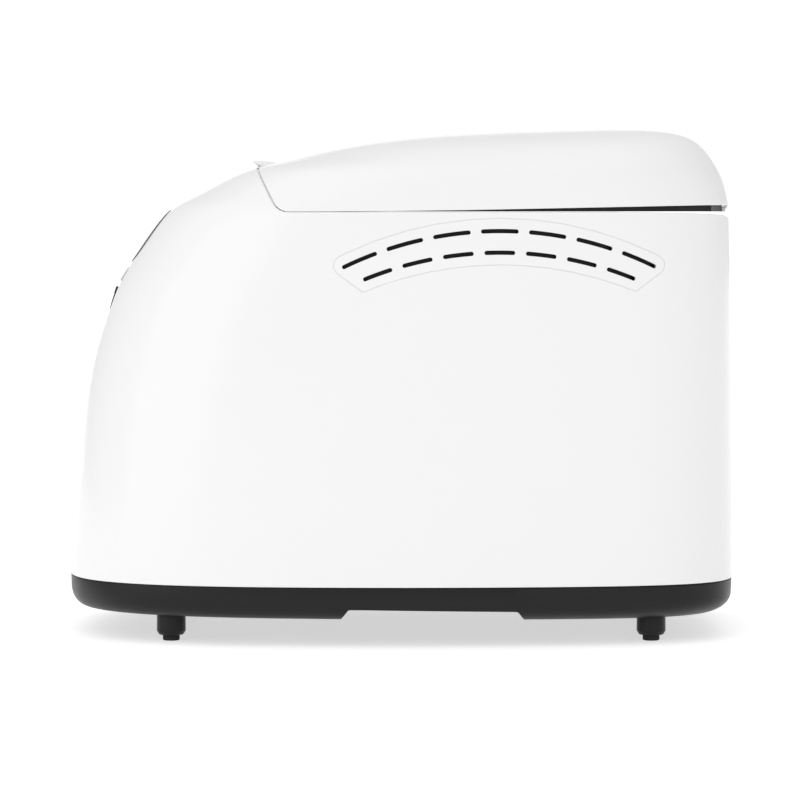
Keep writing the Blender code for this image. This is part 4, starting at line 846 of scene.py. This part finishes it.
def slope_wall(name, edge, foot):
    """Wall down the sloping joint, from the skin's edge to a level foot."""
    slope = (Vector(SEAM_HEEL) - Vector(SEAM_TOP)).normalized()
    run = [p for p in edge if on_slope(p) and p.z > foot + 0.001]
    run.sort(key=lambda p: p.x)
    bm = bmesh.new()
    tops = [bm.verts.new(p) for p in run]
    feet = [bm.verts.new(p + Vector((0, slope.x, slope.y)) * ((p.z - foot) / -slope.y)) for p in run]
    for i in range(len(run) - 1):
        bm.faces.new((tops[i], tops[i + 1], feet[i + 1], feet[i]))
    made = smooth_object(name, bm)
    solid = made.modifiers.new("thickness", "SOLIDIFY")
    solid.thickness = 0.0018
    solid.offset = 0.0
    return made


def deck(edge):
    """Level deck inside the shell's rim, with the oven mouth and a rolled lip into it."""
    heel = SEAM_HEEL[0] + 0.0008
    rim = [(p.x, p.y) for p in edge if p.y > heel + 0.004]
    rim.sort(key=lambda p: math.atan2(p[0], p[1] - OVEN_Y))
    mouth = [(x, y + OVEN_Y) for x, y in rounded_rectangle(*MOUTH_SIZE, MOUTH_RADIUS, 14)]
    first, last = rim[0], rim[-1]
    outer = rim + [(last[0] - 0.002, heel), (first[0] + 0.002, heel)]
    outer = dense(outer, 0.008)
    skin = Skin()
    points, faces = triangulate(outer, [mouth], [])
    verts = [skin.vert((x, y, float(edge_height(DECK_EDGE, y)) - DECK_DROP), (0, 0, 1))
             for x, y in points]
    for face in faces:
        skin.bm.faces.new([verts[k] for k in face])
    ring = verts[len(outer):len(outer) + len(mouth)]
    skin.roll(ring, 0.0010, 0.0026)
    return skin.finish("deck")


def lid():
    """Lid shell: outer skin with rolled edges, hinge notches, an inner skin and a front wall."""
    notches = []
    for side in (-1, 1):
        for edge in (-NOTCH_HALF, NOTCH_HALF):
            x = side * HINGE_X + edge
            s_grid = np.linspace(0.75, 1.0, 2001)
            across = form_point(8.2, s_grid)[:, 0]
            s = np.interp(-abs(x), -across, s_grid)
            notches += [side * (s - 0.0004), side * (s + 0.0004)]
    columns = columns_of(notches)
    base = seam_position(columns, LID_EDGE, ROLL, SEAM_GAP, notch=True)
    v = rows_between(base, np.full(len(columns), LAST - 0.06), 84)
    points, normals = form_point(v, columns[None, :]), form_normal(v, columns[None, :])
    skin = Skin()
    rows = skin.grid(points, normals)
    crown = Vector((0, TABLE[-1][0], TABLE[-1][1]))
    cap(skin, rows[-1], crown, Vector((0, 0, 1)))
    wall = skin.roll(rows[0], ROLL, 0.0020)
    edge = [v.co.copy() for v in wall]
    inner_points = points - normals * WALL
    inner = [[skin.vert(p, -n) for p, n in zip(ps, ns)] for ps, ns in zip(inner_points[::3], normals[::3])]
    for low, high in zip(inner, inner[1:]):
        skin.strip(high, low)
    cap(skin, inner[-1], crown - Vector((0, 0, WALL)), Vector((0, 0, -1)))
    lip = [skin.vert(v.co, (0, 0, -1)) for v in inner[0]]
    wall_lip = [skin.vert(v.co, (0, 0, -1)) for v in wall]
    skin.strip(lip, wall_lip)
    shell = settle(skin.finish("lid_outer"), "lid", "white_plastic", "lid_shell")
    settle(slope_wall("lid_front_wall", edge, 0.2282), "lid", "white_plastic")
    return shell


def cap(skin, ring, centre, normal):
    """Close a ring with a fan to a centre point."""
    pole = skin.vert(centre, normal)
    for i in range(len(ring)):
        skin.bm.faces.new((ring[i], ring[(i + 1) % len(ring)], pole))


def lid_lip():
    """Thumb lip: a thin flared tab that grows out of the lid's front edge."""
    half, count = 0.034, 30
    section = ((-0.0808, 0.25515), (-0.0790, 0.25550), (-0.0740, 0.25530), (-0.0690, 0.25465),
               (-0.0645, 0.25415), (-0.0630, 0.25300), (-0.0690, 0.25150), (-0.0760, 0.25060),
               (-0.0766, 0.25130), (-0.0778, 0.25240), (-0.0796, 0.25370), (-0.0805, 0.25450))
    rings = []
    for k in range(count + 1):
        t = -1 + 2 * k / count
        pull, fall = 0.0042 * abs(t) ** 6, 0.0014 * abs(t) ** 5 + 0.0002 * t * t
        rings.append([(half * t, y + pull * (y < -0.0765), z - fall) for y, z in section])
    lip = loft("lid_thumb_lip", rings, angle=60)
    round_off = lip.modifiers.new("round", "SUBSURF")
    round_off.levels = round_off.render_levels = 2
    return settle(lip, "lid", "white_plastic", "lid_handle")


def vent_panels(drop):
    """Vent inserts, rounded round the band and each slot, each with its flange and a dark sheet behind the
    slots that stands for the shade seen through them.
    """
    slots = list(vent_slots())
    for side, label in ((-1, "left"), (1, "right")):
        plane = side_plane(side, drop)
        skin, edge, rings = patch(plane, dense(vent_band(-BAND_ROLL), 0.002), slots, 0.0035)
        skin.roll(edge, BAND_ROLL, 0.0020)
        for ring in rings:
            skin.roll(ring, ROLL * 0.5, 0.0020)
        settle(skin.finish("vent_insert_" + label), "cabinet", "vent_plastic", "vent_panel_" + label)
        inner = dense(vent_band(-0.0013), 0.002)
        flange, _, _ = patch(plane, dense(vent_band(0.0016), 0.002), [inner], 0.0035, -GROOVE)
        settle(flange.finish("vent_flange_" + label), "cabinet", "vent_plastic")
        # Painted shade: a charcoal sheet set just behind the slots so that the openings read dark.
        shade_sheet, edge, _ = patch(plane, dense(vent_band(-SHADE_SHEET_MARGIN), 0.003), [], 0.006, -SHADE_SHEET_DEPTH)
        shade_sheet.roll(edge, 0.0003, 0.0010)
        settle(shade_sheet.finish("vent_painted_shade_" + label), "cabinet", "charcoal_plastic")


# ---------------------------------------------------------------- base
def tray_ring(inset, z, columns, lean=0.0):
    """Closed ring of the plan outline, set in a little more at the rear than at the front."""
    share = np.interp(np.abs(columns), PLAN_LENGTH, PLAN_SHARE) * np.sign(columns)
    depth = np.interp(np.abs(columns), PLAN_LENGTH, PLAN_DEPTH)
    inset = inset * (1 + TRAY_EDGE_SKEW * depth)
    return [(x, y, z - lean * y) for x, y in zip(share * (HALF_WIDTH - inset), depth * (HALF_DEPTH - inset))]


def tray_floor(y):
    """Height of the tray's leaning underside at y."""
    return TRAY_BOTTOM - TRAY_LEAN * y


def base():
    """Charcoal tray with a rounded lower edge, finger recesses, foot posts and rubber tips."""
    columns = columns_of()
    bottom, top = TRAY_BOTTOM, TRAY_HIGH.z
    edge_in, edge_up, steps, crown = 0.0115, 0.0105, 14, 0.0006
    rings = [tray_ring(0.0006 + edge_in * (1 - math.sin(a)), bottom + edge_up * (1 - math.cos(a)), columns,
                       TRAY_LEAN) for a in (math.pi / 2 * k / steps for k in range(steps + 1))]
    rings += [tray_ring(0.0004, top - crown, columns), tray_ring(0.0006, top - crown * 0.3, columns),
              tray_ring(0.0011, top, columns), tray_ring(0.0029, top, columns),
              tray_ring(0.0031, top - 0.006, columns), tray_ring(0.0120, bottom + 0.0070, columns)]
    tray = loft("tray", rings, angle=30)
    cutters = []
    for side in (-1, 1):
        low = bottom - 0.006
        outline = filleted([(-0.045, low), (0.080, low), (0.080, tray_floor(0.080) - 0.0002),
                            (0.0655, tray_floor(0.0655) - 0.0002), (0.0617, RECESS_ROOF[1]),
                            (-0.0267, RECESS_ROOF[0]), (-0.0312, tray_floor(-0.0312) - 0.0002),
                            (-0.045, tray_floor(-0.045) - 0.0002)], 0.0022, 5)
        ends = sorted(side * end for end in RECESS_ENDS)
        cutters.append(loft(f"recess_{side}", [[(x, y, z) for y, z in outline] for x in ends]))
    for x, y in SCREWS:
        cutters.append(turned("well", [(0, 0.010), (0.0042, 0.010), (0.0042, tray_floor(y) + 0.0012)],
                              32, (x, y, 0), fillet=0.0001))
    cut(tray, cutters)
    settle(tray, "cabinet", "charcoal_plastic", "base_tray")
    for k, (x, y) in enumerate(FEET):
        post = turned(f"foot_post_{k}", [
            (0, FOOT_TIP + 0.0001), (FOOT_RADIUS - 0.0012, FOOT_TIP + 0.0001),
            (FOOT_RADIUS, FOOT_TIP + 0.0022), (FOOT_RADIUS - 0.0001, bottom + 0.0020)],
            64, (x, y, 0), fillet=0.0008)
        settle(post, "cabinet", "charcoal_plastic")
    for node in [n for n in SLOT_OF if n.startswith("rubber_foot_")]:
        low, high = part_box(node)
        middle = (low + high) / 2
        tip = turned(node + "_tip", [(0, 0), (TIP_RADIUS, 0), (TIP_RADIUS, FOOT_TIP + 0.0002)], 48,
                     (middle.x, middle.y, 0), fillet=0.0007)
        settle(tip, "cabinet", "foot_rubber", node)


# ---------------------------------------------------------------- control panel
def panel_outline(margin):
    """Outline of the fascia up the slope, grown by a margin."""
    wide, low, high = PANEL_HALF_WIDTH + margin, PANEL_LOW - margin, PANEL_HIGH + margin
    narrow = wide - 0.004
    return filleted([(-narrow, low), (narrow, low), (wide, high), (-wide, high)], PANEL_RADIUS, 10)


def window_outline(margin):
    """Outline of the display window, grown by a margin."""
    width, height = (s + 2 * margin for s in WINDOW_SIZE)
    return [(x, y + WINDOW_ROW) for x, y in rounded_rectangle(width, height, WINDOW_RADIUS, 5)]


def control_panel(drop, start_place):
    """Gloss fascia with its window, the row of keys and the round start button."""
    plane = tilted_plane(PANEL_CENTRE, PANEL_NORMAL, drop)
    skin, edge, rings = patch(plane, dense(panel_outline(-ROLL), 0.002),
                              [dense(window_outline(0.0), 0.002)], 0.003, PANEL_PROUD)
    skin.roll(edge, ROLL, 0.0012)
    skin.roll(rings[0], ROLL * 0.4, 0.0011)
    settle(skin.finish("fascia"), "cabinet", "panel_gloss", "control_panel")
    skin, edge, _ = patch(plane, dense(window_outline(-0.0003), 0.002), [], 0.003, PANEL_PROUD - 0.0002)
    skin.roll(edge, 0.0002, 0.0009)
    settle(skin.finish("display_pane"), "cabinet", "display_glass", "display_window")
    for middle, name in zip(KEY_PLACES, KEY_NAMES):
        key = turned(name + "_cap", [(0, -0.0080), (KEY_RADIUS, -0.0080), (KEY_RADIUS, KEY_PROUD)], 48,
                     plane[1](middle)[0], PANEL_NORMAL, fillet=0.0005)
        settle(key, name, "key_plastic", name)
    start_button(start_place)


def start_button(spot):
    """Round button in a trim ring, with the ridge that crosses the ring at the top."""
    ring = turned("start_trim", [(TRIM_INNER, -0.0026), (TRIM_OUTER, -0.0026), (TRIM_OUTER, TRIM_PROUD),
                                 (TRIM_INNER, TRIM_PROUD)], 72, spot, START_NORMAL, fillet=0.0003)
    half = RIDGE_HALF_WIDTH
    cut(ring, [button_block("ring_gap", half + 0.0003, (0.0, TRIM_OUTER + 0.002), (-0.0020, 0.01), spot)])
    settle(ring, "cabinet", "button_trim", "start_button_ring")
    cap_piece = turned("start_cap", [(0, -0.0070), (START_RADIUS, -0.0070), (START_RADIUS, START_PROUD)],
                       72, spot, START_NORMAL, fillet=0.0006)
    settle(cap_piece, "start_stop_button", "start_button", "start_stop_button")
    ridge = button_block("start_ridge", half, (RIDGE_LOW, TRIM_OUTER - 0.0002), (RIDGE_ROOT, RIDGE_PROUD),
                         spot)
    settle(ridge, "start_stop_button", "start_button")


def button_block(name, half, edges, heights, spot):
    """Block on the start button's axes, rounded at its upper corners."""
    low, high = edges
    outline = filleted([(-half, low), (half, low), (half, high), (-half, high)], 0.0008, 5)
    frame_of = Matrix((Vector((1, 0, 0)), START_NORMAL.cross(Vector((1, 0, 0))), START_NORMAL)).transposed()
    inset = [(x * 0.9, low + (y - low) * 0.96) for x, y in outline]
    rings = [[spot + frame_of @ Vector((x, y, z)) for x, y in ring]
             for ring, z in ((outline, heights[0]), (outline, heights[1] - 0.0003), (inset, heights[1]))]
    return loft(name, rings, angle=50)


# ---------------------------------------------------------------- everything together
def repaint_nodes():
    """Every CAD node that still shows gets its own slot's finish."""
    for name, node in frame["nodes"].items():
        node.data.materials.clear()
        node.data.materials.append(LOOKS[SLOT_OF[name]])
        if not node.hide_render:
            node.data.shade_smooth()
            node.data.set_sharp_from_angle(angle=math.radians(35))


def build():
    """Make the scene round the frame."""
    camera()
    studio()
    drop = reference_skin()
    start_place = drop((0, -0.25, START_Z), (0, 1, 0))[0] + START_NORMAL * START_LIFT
    housing(drop, start_place)
    lid()
    lid_lip()
    vent_panels(drop)
    base()
    control_panel(drop, start_place)
    repaint_nodes()


build()
